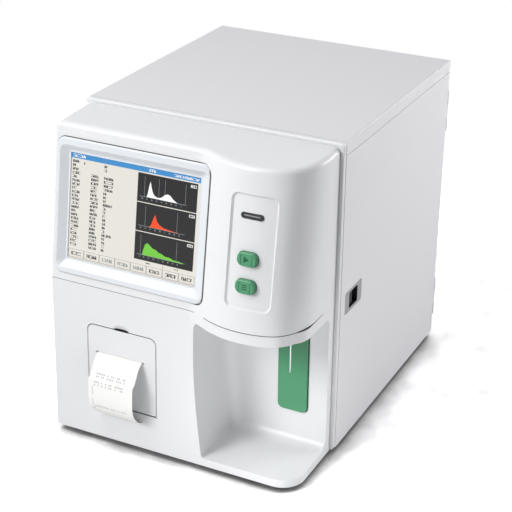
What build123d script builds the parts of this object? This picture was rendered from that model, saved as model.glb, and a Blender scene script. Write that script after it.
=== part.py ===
"""Bench-top hematology analyzer: sheet-metal body, moulded front panel, display,
printer with a drop-down door, sample bay with probe and start key, and fluidics behind
a hinged side door. Millimetres, X to the right, Y to the back, Z up, origin on the
table under the middle of the outer box."""

from build123d import *
from math import atan, cos, degrees, pi, radians, sin, tan
import os

os.makedirs("parts", exist_ok=True)

# Body
body_width = 330.0
body_depth = 341.0
body_height = 392.0
foot_height = 8.0
sheet = 1.5  # sheet-metal thickness
rim_depth = 6.0  # raised rim of the front frame, seen all round behind the front panel
cover_skirt = 16.0  # side lip of the top cover
seam_gap = 0.5  # open seam between neighbouring sheet-metal covers
rim_gap = 1.8  # open seam between the raised rim and the covers behind it

# Front panel, as reaches in front of the body and heights above its lower edge
side_inset = 4.0
wall = 3.5
groove = 1.2  # dark gap between front panel and rim
flat_reach = 95.0  # left, screen side, at the seam
foot_reach = 100.0  # lower edge
nose_reach = 115.0  # crest of the bulge that holds the buttons
nose_x = body_width / 2 - 65
swell_start = body_width / 2 - 145
seam_height = 199.5  # crease between the leaning upper and the upright lower face
nose_bottom = 186.0
panel_top = body_height - 4
panel_top_fall = 2.5  # degrees, falling to the front
lean = 8.64  # degrees, upper face leaning back
top_round = 7.0
crease_width = 0.8
crease_depth = 0.7
crease_left_end = swell_start + 11
crease_right_start = swell_start + 26
crease_rear = 34.0

# Fits
moving_gap = 0.3
running_gap = 0.05
button_gap = 0.4

# The paper reaches furthest forward, the rear fittings reach behind the body
slip_reach = 122.0
rear_reach = 20.0

overall_depth = slip_reach + body_depth + rear_reach
body_front = slip_reach - overall_depth / 2
body_back = body_front + body_depth
half_width = body_width / 2
panel_half = half_width - side_inset
inner_half = half_width - sheet


def fwd(reach):
    """Y of a point that lies reach in front of the body."""
    return body_front - reach


def up(height):
    """Z of a point that lies height above the lower edge of the body."""
    return foot_height + height


def lean_plane(x, reach, height, angle):
    """Plane on a front face that leans back by angle, X to the right and Y up the slope."""
    a = radians(angle)
    return Plane(origin=(x, fwd(reach), up(height)), x_dir=(1, 0, 0), z_dir=(0, -cos(a), sin(a)))


def save(builder, name):
    """Label a finished piece and write it as its own file."""
    builder.part.label = name
    export_step(builder.part, f"parts/{name}.step")


top_z = up(body_height)
lower_lean = degrees(atan((foot_reach - flat_reach) / seam_height))
screen_plane = lean_plane(0, flat_reach, seam_height, lean)
nose_plane = lean_plane(nose_x, nose_reach, seam_height, lean)
lower_plane = lean_plane(0, foot_reach, 0, lower_lean)

# Screen, in the leaning plane, measured from the seam up the slope
bezel_width = body_width - 128
bezel_height = panel_top - seam_height - 26
bezel_x = -body_width / 2 + 5.9 + bezel_width / 2
bezel_s = bezel_height / 2 + 9.45
bezel_crest = 2.5
bezel_round = 12.0
bezel_flange = 2.0
bezel_floor = 3.0
bezel_lip = 1.5
recess_x = 0.4
recess_s = -1.1
recess_width = bezel_width - 9.8
recess_height = bezel_height - 15.9
recess_round = 7.0
window_width = bezel_width - 33
window_height = bezel_height - 35.5
glass_width = window_width + 7
glass_height = window_height + 7
glass_thickness = 1.1
display_thickness = 9.0

# Control pocket on the nose
pocket_width = 54.5
pocket_height = bezel_height - 31.5
pocket_x = 2.6
pocket_s = pocket_height / 2 + 26
pocket_depth = 2.6
pocket_round = 9.0
button_round = 7.0
status_x = 0.7
board_width = 52.0
board_height = pocket_height - 9
button_width = 24.0
button_height = 16.0
button_proud = 2.5
button_travel = 1.2
button_collar = 6.5
switch_height = 4.0
upper_button_s = pocket_s - 6.9
lower_button_s = pocket_s - 38
status_width = 27.3
status_height = 7.4
status_s = pocket_s + 40.7
board_depth = 14.0  # circuit board behind the nose crest

# Printer
door_left = -body_width / 2 + 52
door_right = door_left + 92.5
door_bottom = 47.0
door_top = 151.0
door_round = 8.3
door_gap = 0.6
stub_length = 2.2
scoop_x = door_left + 46
scoop_radius = 30.0
scoop_drop = 7.3
scoop_out = 26.4
paper_width = 60.0
paper_x = door_left + 44
slot_height = 115.3
slot_half = 33.2
paper_sheet = 0.4
roll_radius = 20.0
platen_radius = 5.0
platen_depth = 11.5
platen_s = 106.0
cheek_x = 33.5
axle_radius = 1.5
bucket_depth = 62.0
bucket_half = 42.0
bucket_bottom = 45.0
bucket_top = 140.0
bucket_lip = 62.0
roll_depth = 40.0
roll_s = 67.5
head_depth = 18.3
head_bottom = 98.0

# Sample bay
bay_left_top = body_width / 2 - 135.5
bay_left_middle = bay_left_top + 0.5
bay_left_low = bay_left_top + 3.3
bay_left_bottom = bay_left_top + 10.5
bay_floor = 10.0
bay_back = 14.0
lip_corner = 28.0
key_x = body_width / 2 - 47.4
key_width = 38.0
key_bottom = 52.0
key_front = 17.0
key_thick = 4.0
key_gap = 1.0
key_pivot = 197.0
key_pivot_reach = 12.0
key_pin = 1.5
key_round = 7.0
key_top = 192.0
key_lug_x = 22.5
key_switch_height = 75.0
switch_reach = 10.0
bay_corner = 5.0
boss_radius = 5.0
boss_low = 40.0
boss_high = panel_top - 14
bay_cove = 16.0
bay_top_round = 8.0
wash_radius = 7.0
probe_x = body_width / 2 - 40
probe_reach = 40.0
probe_radius = 0.9
probe_tip = 118.0

# Outlines shared by shells and cavities
rear_margin = 12.0  # outlines start this far behind the body front and are trimmed later

seam_plane = Plane.XY.offset(up(seam_height))
swell_points = [
    (swell_start, fwd(flat_reach)),
    (swell_start + 28, fwd(flat_reach + 9.2)),
    (nose_x - 25, fwd(nose_reach - 1.6)),
    (nose_x, fwd(nose_reach)),
    (nose_x + 23, fwd(nose_reach - 3.6)),
    (nose_x + 41, fwd(nose_reach - 12.5)),
    (nose_x + 54, fwd(nose_reach - 31)),
    (panel_half, fwd(nose_reach - 70)),
]
with BuildLine() as swell_line:
    Spline(*swell_points, tangents=((1, 0), (0, 1)))
swell = swell_line.edges()[0]


def inset_point(point, inset):
    """The point moved square to the swell, inset millimetres into the panel."""
    along = swell.tangent_at(swell.param_at_point(point))
    return Vector(*point) + Vector(-along.Y, along.X) * inset


def front_outline(inset):
    """Plan outline of the upper front at the seam: flat at the left, swelling to the nose,
    drawn inset millimetres inside the outer surface."""
    points = [inset_point(point, inset) for point in swell_points]
    left = -panel_half + inset
    rear = fwd(-rear_margin)
    with BuildSketch(seam_plane) as outline:
        with BuildLine():
            Line((left, rear), (left, points[0].Y))
            Line((left, points[0].Y), points[0])
            Spline(*points, tangents=((1, 0), (0, 1)))
            Line(points[-1], (points[-1].X, rear))
            Line((points[-1].X, rear), (left, rear))
        make_face()
    return outline.sketch


upper_plan = front_outline(0)
upper_core = front_outline(wall)
pocket_core = front_outline(pocket_depth)
pillar_core = front_outline((pocket_depth + wall) / 2)
crease_core = front_outline(crease_depth)

with BuildSketch(seam_plane) as lower_plan:
    with Locations((0, (fwd(-rear_margin) + fwd(flat_reach)) / 2)):
        Rectangle(2 * panel_half, flat_reach + rear_margin)
    fillet(lower_plan.vertices().group_by(Axis.Y)[0].sort_by(Axis.X)[-1], lip_corner)

with BuildSketch(seam_plane) as lower_core:
    add(lower_plan.sketch)
    offset(amount=-wall, kind=Kind.INTERSECTION)

rise = panel_top - seam_height
back_dir = (0, sin(radians(lean)), cos(radians(lean)))
fore_dir = (0, -sin(radians(lower_lean)), -cos(radians(lower_lean)))
rise_length = (rise + 12) / cos(radians(lean))
drop_length = seam_height / cos(radians(lower_lean))


def top_trim(drop):
    """Closed outline, seen from the side, of all that lies above the sloping top less drop."""
    rear = 2 * rear_margin + 60
    ahead = 2 * nose_reach
    top = up(panel_top) - drop
    fall = tan(radians(panel_top_fall))
    return [
        (fwd(-rear), top + rear * fall),
        (fwd(ahead), top - ahead * fall),
        (fwd(ahead), top_z + 60),
        (fwd(-rear), top_z + 60),
    ]


def front_cut(reach):
    """Middle Y of a deep box whose front side lies at reach."""
    return fwd(reach) + body_depth / 2


# Solid form of the front panel, before it is hollowed
with BuildPart() as panel_form:
    extrude(upper_plan, amount=rise_length, dir=back_dir)
    with BuildSketch(Plane.YZ.offset(-body_width)):
        Polygon(*top_trim(0), align=None)
    extrude(amount=2 * body_width, mode=Mode.SUBTRACT)
    with Locations((0, front_cut(groove), top_z)):
        Box(2 * body_width, body_depth, 3 * body_height, mode=Mode.SUBTRACT)
    top_face = panel_form.faces().sort_by(Axis.Z)[-1]
    fillet(top_face.edges().filter_by(lambda e: e.center().Y < fwd(groove + 1)), top_round)
    extrude(lower_plan.sketch, amount=drop_length, dir=fore_dir)
    extrude(upper_plan, amount=-(seam_height - nose_bottom))
    with Locations((0, front_cut(groove), up(body_height / 2))):
        Box(2 * body_width, body_depth, 3 * body_height, mode=Mode.SUBTRACT)

# Space of the sample bay, open to the front and to the right
bay_far = half_width + 20
with BuildPart() as bay_space:
    with BuildSketch(Plane.XZ.offset(-fwd(bay_back))) as bay_view:
        with BuildLine():
            Spline(
                (bay_left_top, up(nose_bottom)),
                (bay_left_middle, up(0.58 * nose_bottom)),
                (bay_left_low, up(0.38 * nose_bottom)),
                (bay_left_bottom, up(bay_floor)),
            )
            Polyline(
                (bay_left_bottom, up(bay_floor)),
                (bay_far, up(bay_floor)),
                (bay_far, up(nose_bottom)),
                (bay_left_top, up(nose_bottom)),
            )
        make_face()
        fillet(bay_view.vertices().group_by(Axis.Y)[0].sort_by(Axis.X)[0], bay_corner)
    extrude(amount=2 * nose_reach)
    back_edges = bay_space.faces().sort_by(Axis.Y)[-1].edges()
    fillet(back_edges.sort_by(Axis.Z)[:-1].sort_by(Axis.X)[:-1], bay_cove)
    fillet(bay_space.edges().filter_by(Axis.Y).sort_by(Axis.X)[0], bay_top_round)

# Walls round the bay, as the block of material that the inner hollow leaves standing
with BuildPart() as bay_block:
    with BuildSketch(Plane.XZ.offset(-fwd(bay_back - wall))):
        Polygon(
            (bay_left_top - wall, up(nose_bottom + wall)),
            (bay_left_top - wall, up(-wall)),
            (bay_far, up(-wall)),
            (bay_far, up(nose_bottom + wall)),
            align=None,
        )
    extrude(amount=2 * nose_reach)

with BuildPart() as panel_hollow:
    extrude(upper_core, amount=rise_length, dir=back_dir)
    with BuildSketch(Plane.YZ.offset(-body_width)):
        Polygon(*top_trim(wall), align=None)
    extrude(amount=2 * body_width, mode=Mode.SUBTRACT)
    extrude(lower_core.sketch, amount=drop_length - wall, dir=fore_dir)
    extrude(upper_core, amount=-(seam_height - nose_bottom - wall))
    add(bay_block.part, mode=Mode.SUBTRACT)

# Control pocket, following the curve of the nose
with BuildPart() as pocket_tool:
    with BuildSketch(nose_plane.offset(-5 * wall)):
        with Locations((pocket_x, pocket_s)):
            RectangleRounded(pocket_width, pocket_height, pocket_round)
    extrude(amount=8 * wall)
    extrude(pocket_core, amount=rise_length, dir=back_dir, mode=Mode.SUBTRACT)
    curved_faces = pocket_tool.faces().filter_by(GeomType.EXTRUSION)
    chamfer(curved_faces.sort_by(SortBy.AREA)[-1].edges(), pocket_depth - 0.2)

# Crease that follows the front at the seam, broken between screen side and nose
with BuildPart() as crease_tool:
    with BuildSketch(Plane.XY.offset(up(seam_height) - crease_width / 2)):
        with Locations(((-panel_half + crease_left_end) / 2 - wall, fwd(foot_reach))):
            Rectangle(panel_half + crease_left_end + 2 * wall, 2 * nose_reach - 2 * crease_rear)
        with Locations(((panel_half + crease_right_start) / 2 + wall, fwd(foot_reach))):
            Rectangle(panel_half - crease_right_start + 2 * wall, 2 * foot_reach - 2 * crease_rear)
    extrude(amount=crease_width)
    extrude(crease_core, amount=crease_width, both=True, mode=Mode.SUBTRACT)

# Pillars for the circuit board behind the buttons, ending inside the pocket floor
with BuildPart() as board_pillars:
    with BuildSketch(nose_plane.offset(-board_depth)):
        with Locations((pocket_x, pocket_s)):
            with GridLocations(board_width - 8, board_height - 8, 2, 2):
                Circle(3.5)
    extrude(amount=board_depth)
    extrude(pillar_core, amount=rise_length, dir=back_dir, mode=Mode.INTERSECT)

# Moulded front panel
hinge_s = door_bottom + door_gap + wall / 2
stub_radius = 1.2
bezel_seat_width = bezel_width + 0.4
bezel_seat_height = bezel_height + 0.4
bezel_body_width = bezel_width - 10
bezel_body_height = bezel_height - 10
with BuildPart() as front_panel:
    add(panel_form.part)
    add(panel_hollow.part, mode=Mode.SUBTRACT)
    add(bay_space.part, mode=Mode.SUBTRACT)
    add(pocket_tool.part, mode=Mode.SUBTRACT)
    add(crease_tool.part, mode=Mode.SUBTRACT)
    # Screen seat and the opening behind it
    with BuildSketch(screen_plane.offset(-bezel_flange)):
        with Locations((bezel_x, bezel_s)):
            RectangleRounded(bezel_seat_width, bezel_seat_height, bezel_round)
    extrude(amount=2 * wall, mode=Mode.SUBTRACT)
    with BuildSketch(screen_plane.offset(-2 * wall)):
        with Locations((bezel_x, bezel_s)):
            RectangleRounded(bezel_body_width + 0.6, bezel_body_height + 0.6, bezel_round / 2)
    extrude(amount=3 * wall, mode=Mode.SUBTRACT)
    # Printer opening with pivot holes and finger scoop
    with BuildSketch(lower_plane.offset(-2 * wall)) as opening:
        with Locations(((door_left + door_right) / 2, (door_bottom + door_top) / 2)):
            Rectangle(door_right - door_left, door_top - door_bottom)
        fillet(opening.vertices().group_by(Axis.Y)[-1], door_round)
    extrude(amount=3 * wall, mode=Mode.SUBTRACT)
    with Locations(lower_plane.offset(-wall / 2) * Location((door_left - stub_length, hinge_s, 0), (0, 90, 0))):
        Cylinder(
            stub_radius + running_gap,
            door_right - door_left + 2 * stub_length,
            align=(Align.CENTER, Align.CENTER, Align.MIN),
            mode=Mode.SUBTRACT,
        )
    scoop_centre = lower_plane * Location((scoop_x, door_top - scoop_drop, scoop_out))
    with Locations(scoop_centre):
        Sphere(scoop_radius, mode=Mode.SUBTRACT)
    # Button holes and status slot through the pocket floor
    with BuildSketch(nose_plane.offset(-3 * wall)):
        with Locations((0, upper_button_s), (0, lower_button_s)):
            RectangleRounded(button_width + 2 * button_gap, button_height + 2 * button_gap, button_round)
        with Locations((status_x, status_s)):
            SlotOverall(status_width, status_height)
    extrude(amount=5 * wall, mode=Mode.SUBTRACT)
    # Start key opening in the back wall of the bay, and the hole for the wash block
    with BuildSketch(Plane.XZ.offset(-fwd(bay_back - 2 * wall))) as key_view:
        with Locations((key_x, up((key_bottom + key_top) / 2))):
            Rectangle(key_width + 2 * key_gap, key_top - key_bottom + 2 * key_gap)
        fillet(key_view.vertices().group_by(Axis.Y)[0], key_round + key_gap)
    extrude(amount=4 * wall, mode=Mode.SUBTRACT)
    with BuildSketch(Plane.XY.offset(up(nose_bottom) - wall)):
        with Locations((probe_x, fwd(probe_reach))):
            Circle(wash_radius + 0.2)
    extrude(amount=4 * wall, mode=Mode.SUBTRACT)
    # Underside of the bay floor, hollowed as a moulding
    with BuildSketch(Plane.XY) as under:
        with Locations(((bay_left_bottom + panel_half) / 2, (fwd(bay_back) + fwd(foot_reach)) / 2)):
            Rectangle(panel_half - bay_left_bottom - 2 * wall, foot_reach - bay_back - 2 * wall)
        fillet(under.vertices().group_by(Axis.Y)[0].sort_by(Axis.X)[-1], lip_corner - wall)
    extrude(amount=up(bay_floor) - wall, mode=Mode.SUBTRACT)
    add(board_pillars.part)
    # Bosses that meet the front frame
    boss_x = panel_half - wall - boss_radius + 1
    boss_heights = (boss_low, boss_high)
    with Locations(*[(side * boss_x, fwd(0), up(height)) for side in (-1, 1) for height in boss_heights]):
        Cylinder(boss_radius, bay_back - 1, rotation=(90, 0, 0), align=(Align.CENTER, Align.CENTER, Align.MIN))
    # Lugs for the start key pivot
    with Locations((key_x, fwd(bay_back - wall / 2 + 1), up(key_pivot) - 3)):
        with Locations((-key_lug_x, 0, 0), (key_lug_x, 0, 0)):
            Box(4, wall + 6, 2 * (key_pivot - nose_bottom - wall) + 2)
    with Locations((key_x, fwd(key_pivot_reach), up(key_pivot))):
        Cylinder(key_pin + running_gap, 2 * key_lug_x + 5, rotation=(0, 90, 0), mode=Mode.SUBTRACT)

save(front_panel, "front_panel")

# Screen bezel: raised rim, sloping recess and a lip round the window
bezel_plane = screen_plane.shift_origin(screen_plane.from_local_coords((bezel_x, bezel_s, 0)))
with BuildPart() as screen_bezel:
    with BuildSketch(bezel_plane.offset(-bezel_flange)):
        RectangleRounded(bezel_width, bezel_height, bezel_round)
    extrude(amount=bezel_flange + bezel_crest)
    fillet(screen_bezel.faces().sort_by(Axis.Y)[0].edges(), bezel_crest - 0.3)
    with BuildSketch(bezel_plane.offset(-bezel_flange)):
        RectangleRounded(bezel_body_width, bezel_body_height, bezel_round / 2)
    extrude(amount=-(bezel_floor + bezel_lip - bezel_flange + 2))
    with BuildSketch(bezel_plane.offset(bezel_crest)):
        with Locations((recess_x, recess_s)):
            RectangleRounded(recess_width, recess_height, recess_round)
    with BuildSketch(bezel_plane.offset(-bezel_floor)):
        RectangleRounded(window_width + 4, window_height + 4, 2)
    loft(mode=Mode.SUBTRACT)
    with BuildSketch(bezel_plane.offset(-bezel_floor)):
        Rectangle(window_width, window_height)
    extrude(amount=-2 * wall, mode=Mode.SUBTRACT)
    with BuildSketch(bezel_plane.offset(-bezel_floor - bezel_lip)):
        Rectangle(glass_width + 0.4, glass_height + 0.4)
    extrude(amount=-2 * wall, mode=Mode.SUBTRACT)
save(screen_bezel, "screen_bezel")

glass_front = bezel_floor + bezel_lip
with BuildPart() as touch_glass:
    with BuildSketch(bezel_plane.offset(-glass_front)):
        RectangleRounded(glass_width, glass_height, 1)
    extrude(amount=-glass_thickness)
save(touch_glass, "touch_glass")

# Display panel: metal tray with mounting ears and the driver board cover at the back
display_front = glass_front + glass_thickness
with BuildPart() as display_module:
    with BuildSketch(bezel_plane.offset(-display_front)):
        Rectangle(glass_width, glass_height)
    extrude(amount=-display_thickness)
    with BuildSketch(bezel_plane.offset(-display_front - display_thickness)):
        with Locations((0, -glass_height / 5)):
            Rectangle(glass_width * 0.7, glass_height * 0.4)
    extrude(amount=-4)
    with BuildSketch(bezel_plane.offset(-display_front - display_thickness)):
        with GridLocations(glass_width - 10, glass_height - 10, 2, 2):
            Circle(3)
    extrude(amount=-3)
save(display_module, "display_module")

# Status window: black moulding with a light bar, pressed into its slot
status_plane = nose_plane.shift_origin(nose_plane.from_local_coords((status_x, status_s, 0)))
with BuildPart() as status_window:
    with BuildSketch(status_plane.offset(-pocket_depth - 0.4)):
        SlotOverall(status_width - 0.2, status_height - 0.2)
    extrude(amount=-3)
    with BuildSketch(status_plane.offset(-pocket_depth - 3.4)):
        RectangleRounded(status_width + 4, status_height + 4, 2)
    extrude(amount=-1.6)
    with BuildSketch(status_plane.offset(-pocket_depth - 0.4)):
        SlotOverall(status_width - 5, 2.2)
    extrude(amount=0.3)
save(status_window, "status_window")


def button(name, slope):
    """Push button: domed oblong cap, retaining collar and a stem towards its switch."""
    with BuildPart() as cap:
        with BuildSketch(nose_plane.offset(button_proud)):
            with Locations((0, slope)):
                RectangleRounded(button_width, button_height, button_round)
        extrude(amount=-(button_proud + button_collar))
        fillet(cap.faces().sort_by(Axis.Y)[0].edges(), button_proud - 0.5)
        with BuildSketch(nose_plane.offset(-button_collar)):
            with Locations((0, slope)):
                RectangleRounded(button_width + 4, button_height + 4, button_round)
        extrude(amount=-1.5)
        with BuildSketch(nose_plane.offset(-button_collar - 1.5)):
            with Locations((0, slope)):
                Circle(3)
        extrude(amount=-(board_depth - button_collar - 1.5 - switch_height - button_travel - 0.2))
    save(cap, name)


button("upper_button", upper_button_s)
button("lower_button", lower_button_s)

# Circuit board behind the buttons, with a switch for each and the light for the window
with BuildPart() as control_board:
    with BuildSketch(nose_plane.offset(-board_depth)):
        with Locations((pocket_x, pocket_s)):
            RectangleRounded(board_width, board_height, 2)
            with GridLocations(board_width - 8, board_height - 8, 2, 2):
                Circle(1.5, mode=Mode.SUBTRACT)
    extrude(amount=-1.6)
    with BuildSketch(nose_plane.offset(-board_depth)):
        with Locations((0, upper_button_s), (0, lower_button_s)):
            Rectangle(6, 6)
    extrude(amount=switch_height - 1)
    with BuildSketch(nose_plane.offset(-board_depth + switch_height - 1)):
        with Locations((0, upper_button_s), (0, lower_button_s)):
            Circle(1.7)
    extrude(amount=1)
    with BuildSketch(nose_plane.offset(-board_depth)):
        with Locations((status_x, status_s)):
            with GridLocations(6, 0, 3, 1):
                Rectangle(3, 3)
    extrude(amount=2)
save(control_board, "control_board")

# Start key on the back wall of the bay: long plate that swings on two stub pins
with BuildPart() as start_key:
    with BuildSketch(Plane.XZ.offset(-fwd(key_front))) as key_face:
        with Locations((key_x, up((key_bottom + key_pivot) / 2))):
            Rectangle(key_width, key_pivot - key_bottom)
        fillet(key_face.vertices().group_by(Axis.Y)[0], key_round)
    extrude(amount=-key_thick)
    fillet(start_key.faces().sort_by(Axis.Y)[0].edges().group_by(Axis.Z)[0], 1.2)
    with BuildSketch(Plane.YZ.offset(key_x - key_width / 2)):
        with Locations((fwd(key_pivot_reach), up(key_pivot))):
            Circle(key_thick)
    extrude(amount=key_width)
    with BuildSketch(Plane.YZ.offset(key_x - key_lug_x - 1.8)):
        with Locations((fwd(key_pivot_reach), up(key_pivot))):
            Circle(key_pin)
    extrude(amount=2 * key_lug_x + 3.6)
save(start_key, "start_key")

# Microswitch behind the key, on a post from the front frame
with BuildPart() as key_switch:
    with Locations((key_x, fwd((switch_reach - 1) / 2), up(key_switch_height))):
        Box(20, switch_reach - 1, 12)
    with Locations((key_x, fwd(switch_reach - 1 + 0.5), up(key_switch_height))):
        Box(3, 1, 3)
save(key_switch, "key_switch")

# Printer door with rounded pivot edge, paper slot and cheeks for the platen roller
door_mid = (door_left + door_right) / 2
with BuildPart() as printer_door:
    with BuildSketch(lower_plane) as door_face:
        with Locations((door_mid, (hinge_s + door_top - door_gap) / 2)):
            Rectangle(door_right - door_left - 2 * door_gap, door_top - door_gap - hinge_s)
        fillet(door_face.vertices().group_by(Axis.Y)[-1], door_round - door_gap)
        with Locations((paper_x, slot_height)):
            SlotOverall(2 * slot_half, 2.4, mode=Mode.SUBTRACT)
    extrude(amount=-wall)
    hinge_line = lower_plane.offset(-wall / 2)
    with Locations(hinge_line * Location((door_mid, hinge_s, 0), (0, 90, 0))):
        Cylinder(wall / 2, door_right - door_left - 2 * door_gap)
        Cylinder(stub_radius, door_right - door_left + 2 * stub_length - 0.4)
    with BuildSketch(lower_plane.offset(-wall)):
        with Locations((paper_x - cheek_x, platen_s), (paper_x + cheek_x, platen_s)):
            Rectangle(2.5, 16)
    extrude(amount=-(platen_depth + 5 - wall))
    with Locations(lower_plane.offset(-platen_depth) * Location((paper_x, platen_s, 0), (0, 90, 0))):
        Cylinder(axle_radius + running_gap, 3 * cheek_x, mode=Mode.SUBTRACT)
save(printer_door, "printer_door")

with BuildPart() as platen_roller:
    with Locations(lower_plane.offset(-platen_depth) * Location((paper_x, platen_s, 0), (0, 90, 0))):
        Cylinder(platen_radius, 2 * cheek_x - 2.5 - 2 * moving_gap)
        Cylinder(axle_radius, 2 * cheek_x + 9)
    with Locations(lower_plane.offset(-platen_depth) * Location((paper_x + cheek_x + 3.4, platen_s, 0), (0, 90, 0))):
        Cylinder(4, 3)
save(platen_roller, "platen_roller")

# Paper coming out of the slot and curling down over the lower edge of the door
slip_plane = Plane(
    origin=lower_plane.from_local_coords((paper_x + paper_width / 2, slot_height, 0)),
    x_dir=lower_plane.z_dir,
    z_dir=(-1, 0, 0),
)
slip_drop = 44.0
slip_lean = radians(lower_lean)
slot_reach = foot_reach - slot_height * sin(slip_lean)
crest = (slip_reach - paper_sheet / 2 - slot_reach - slip_drop * sin(slip_lean)) / cos(slip_lean)
with BuildPart() as paper_slip:
    with BuildSketch(slip_plane):
        with BuildLine():
            Spline(
                (-wall - 1.5, 0.4),
                (0, 0),
                (0.35 * crest, -5.5),
                (0.8 * crest, -0.5 * slip_drop),
                (crest, -slip_drop),
                tangents=((1, 0.1), (sin(slip_lean), -cos(slip_lean))),
            )
            Spline(
                (crest, -slip_drop),
                (0.87 * crest, -slip_drop - 18),
                (0.48 * crest, -slip_drop - 30),
                (paper_sheet, -slip_drop - 36),
                tangents=((sin(slip_lean), -cos(slip_lean)), (-1, -0.35)),
            )
        trace(line_width=paper_sheet)
    extrude(amount=paper_width)
save(paper_slip, "paper_slip")

# Printer bucket: tray with a half-round cradle for the roll and a flange on the panel
bucket_plane = Plane(
    origin=lower_plane.from_local_coords((paper_x, 0, 0)),
    x_dir=lower_plane.z_dir,
    z_dir=(-1, 0, 0),
)
with BuildPart() as printer_bucket:
    with BuildSketch(bucket_plane) as bucket_side:
        with Locations((-(wall + bucket_depth / 2), (bucket_bottom + bucket_top) / 2)):
            Rectangle(bucket_depth, bucket_top - bucket_bottom)
        fillet(bucket_side.vertices().group_by(Axis.Y)[0].sort_by(Axis.X)[0], roll_radius)
    extrude(amount=bucket_half, both=True)
    with BuildSketch(bucket_plane):
        with Locations((-roll_depth, roll_s)):
            Circle(roll_radius + moving_gap)
        with Locations((-(roll_depth), (roll_s + bucket_top - 2) / 2)):
            Rectangle(2 * (roll_radius + moving_gap), bucket_top - 2 - roll_s)
        with Locations((-roll_depth / 2, (bucket_lip + bucket_top - 2) / 2)):
            Rectangle(roll_depth, bucket_top - 2 - bucket_lip)
    extrude(amount=bucket_half - 2, both=True, mode=Mode.SUBTRACT)
    with BuildSketch(lower_plane.offset(-wall)):
        with Locations((door_mid, (door_bottom + door_top) / 2 + 1)):
            RectangleRounded(door_right - door_left + 14, door_top - door_bottom + 14, 5)
        with Locations((door_mid, (door_bottom + door_top) / 2)):
            Rectangle(door_right - door_left + 2, door_top - door_bottom + 2, mode=Mode.SUBTRACT)
    extrude(amount=-2)
save(printer_bucket, "printer_bucket")

with BuildPart() as paper_roll:
    with BuildSketch(bucket_plane.offset(-paper_width / 2)):
        with Locations((-roll_depth, roll_s)):
            Circle(roll_radius)
            Circle(6.5, mode=Mode.SUBTRACT)
    extrude(amount=paper_width)
save(paper_roll, "paper_roll")

# Thermal print head: ceramic bar on a finned heat sink under the bucket's roof
with BuildPart() as print_head:
    with BuildSketch(bucket_plane) as head_side:
        with Locations((-head_depth, (head_bottom + bucket_top - 2) / 2)):
            Rectangle(3, bucket_top - 2 - head_bottom)
        with Locations((-head_depth - 4, bucket_top - 3.5)):
            Rectangle(8, 3)
        for step in range(3):
            with Locations((-head_depth - 3, bucket_top - 10 - 6 * step)):
                Rectangle(4, 1.5)
    extrude(amount=paper_width / 2, both=True)
save(print_head, "print_head")

# Body shell measures
body_plane = Plane.XZ.offset(-body_back)
cover_front = body_front + rim_depth + rim_gap
cover_mid = (cover_front + body_back) / 2
cover_depth = body_back - cover_front
skirt_z = top_z - cover_skirt
side_top = skirt_z - seam_gap
tray_top = foot_height + sheet
flange = 13.5
plate_x = 58.0  # left face of the upright plate that carries the fluidics
plate_front = body_front + 28
plate_back = body_back - 68
plate_top = up(body_height - 40)
rim_round = 1.4

# Front frame: folded ring that shows behind the front panel, with a plate across it
with BuildPart() as front_frame:
    with Locations((0, body_front + rim_depth / 2, up(body_height / 2))):
        Box(body_width, rim_depth, body_height)
    fillet(front_frame.edges().filter_by(Axis.Y), 3)
    fillet(front_frame.faces().sort_by(Axis.Y)[0].edges(), rim_round)
    with Locations((0, body_front + sheet + rim_depth / 2, up(body_height / 2))):
        Box(body_width - 2 * sheet, rim_depth, body_height - 2 * sheet, mode=Mode.SUBTRACT)
    with BuildSketch(Plane.XZ.offset(-body_front - 2 * sheet)):
        with Locations((-body_width / 4, up(0.72 * body_height)), (-body_width / 4, up(0.28 * body_height))):
            RectangleRounded(0.38 * body_width, 0.3 * body_height, 8)
        with Locations((0.07 * body_width, up(0.5 * body_height))):
            SlotOverall(0.6 * body_height, 22, rotation=90)
    extrude(amount=4 * sheet, mode=Mode.SUBTRACT)
save(front_frame, "front_frame")

# Base tray with turned-up edges, foot holes and slots for air
foot_x = half_width - 25
foot_front = body_front + 25
foot_back = body_back - 28
tray_half = inner_half
with BuildPart() as base_tray:
    tray_front = body_front + rim_depth
    tray_back = body_back - sheet
    tray_mid = (tray_front + tray_back) / 2
    with Locations((0, tray_mid, foot_height + sheet / 2)):
        Box(2 * tray_half, tray_back - tray_front, sheet)
    with Locations((-tray_half + sheet / 2, tray_mid, tray_top + flange / 2)):
        Box(sheet, tray_back - tray_front, flange)
    with Locations((tray_half - seam_gap - sheet / 2, tray_mid, tray_top + flange / 2)):
        Box(sheet, tray_back - tray_front, flange)
    with Locations((0, tray_back - sheet / 2, tray_top + flange / 2)):
        Box(2 * (tray_half - seam_gap), sheet, flange)
    with BuildSketch(Plane.XY):
        with Locations((-foot_x, foot_front), (foot_x, foot_front), (-foot_x, foot_back), (foot_x, foot_back)):
            Circle(2.5)
        with Locations((-half_width / 3, tray_mid - 40)):
            with GridLocations(0, 9, 1, 8):
                SlotOverall(60, 4)
    extrude(amount=2 * foot_height, mode=Mode.SUBTRACT)
save(base_tray, "base_tray")

# Four tapered rubber feet with a plug that fills the hole in the tray
with BuildPart() as feet:
    with BuildSketch(Plane.XY):
        with Locations((-foot_x, foot_front), (foot_x, foot_front), (-foot_x, foot_back), (foot_x, foot_back)):
            Circle(13)
    extrude(amount=foot_height, taper=-14)
    with BuildSketch(Plane.XY):
        with Locations((-foot_x, foot_front), (foot_x, foot_front), (-foot_x, foot_back), (foot_x, foot_back)):
            Circle(4)
    extrude(amount=foot_height / 2, mode=Mode.SUBTRACT)
    with BuildSketch(Plane.XY.offset(foot_height)):
        with Locations((-foot_x, foot_front), (foot_x, foot_front), (-foot_x, foot_back), (foot_x, foot_back)):
            Circle(2.4)
    extrude(amount=sheet)
save(feet, "feet")

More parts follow.
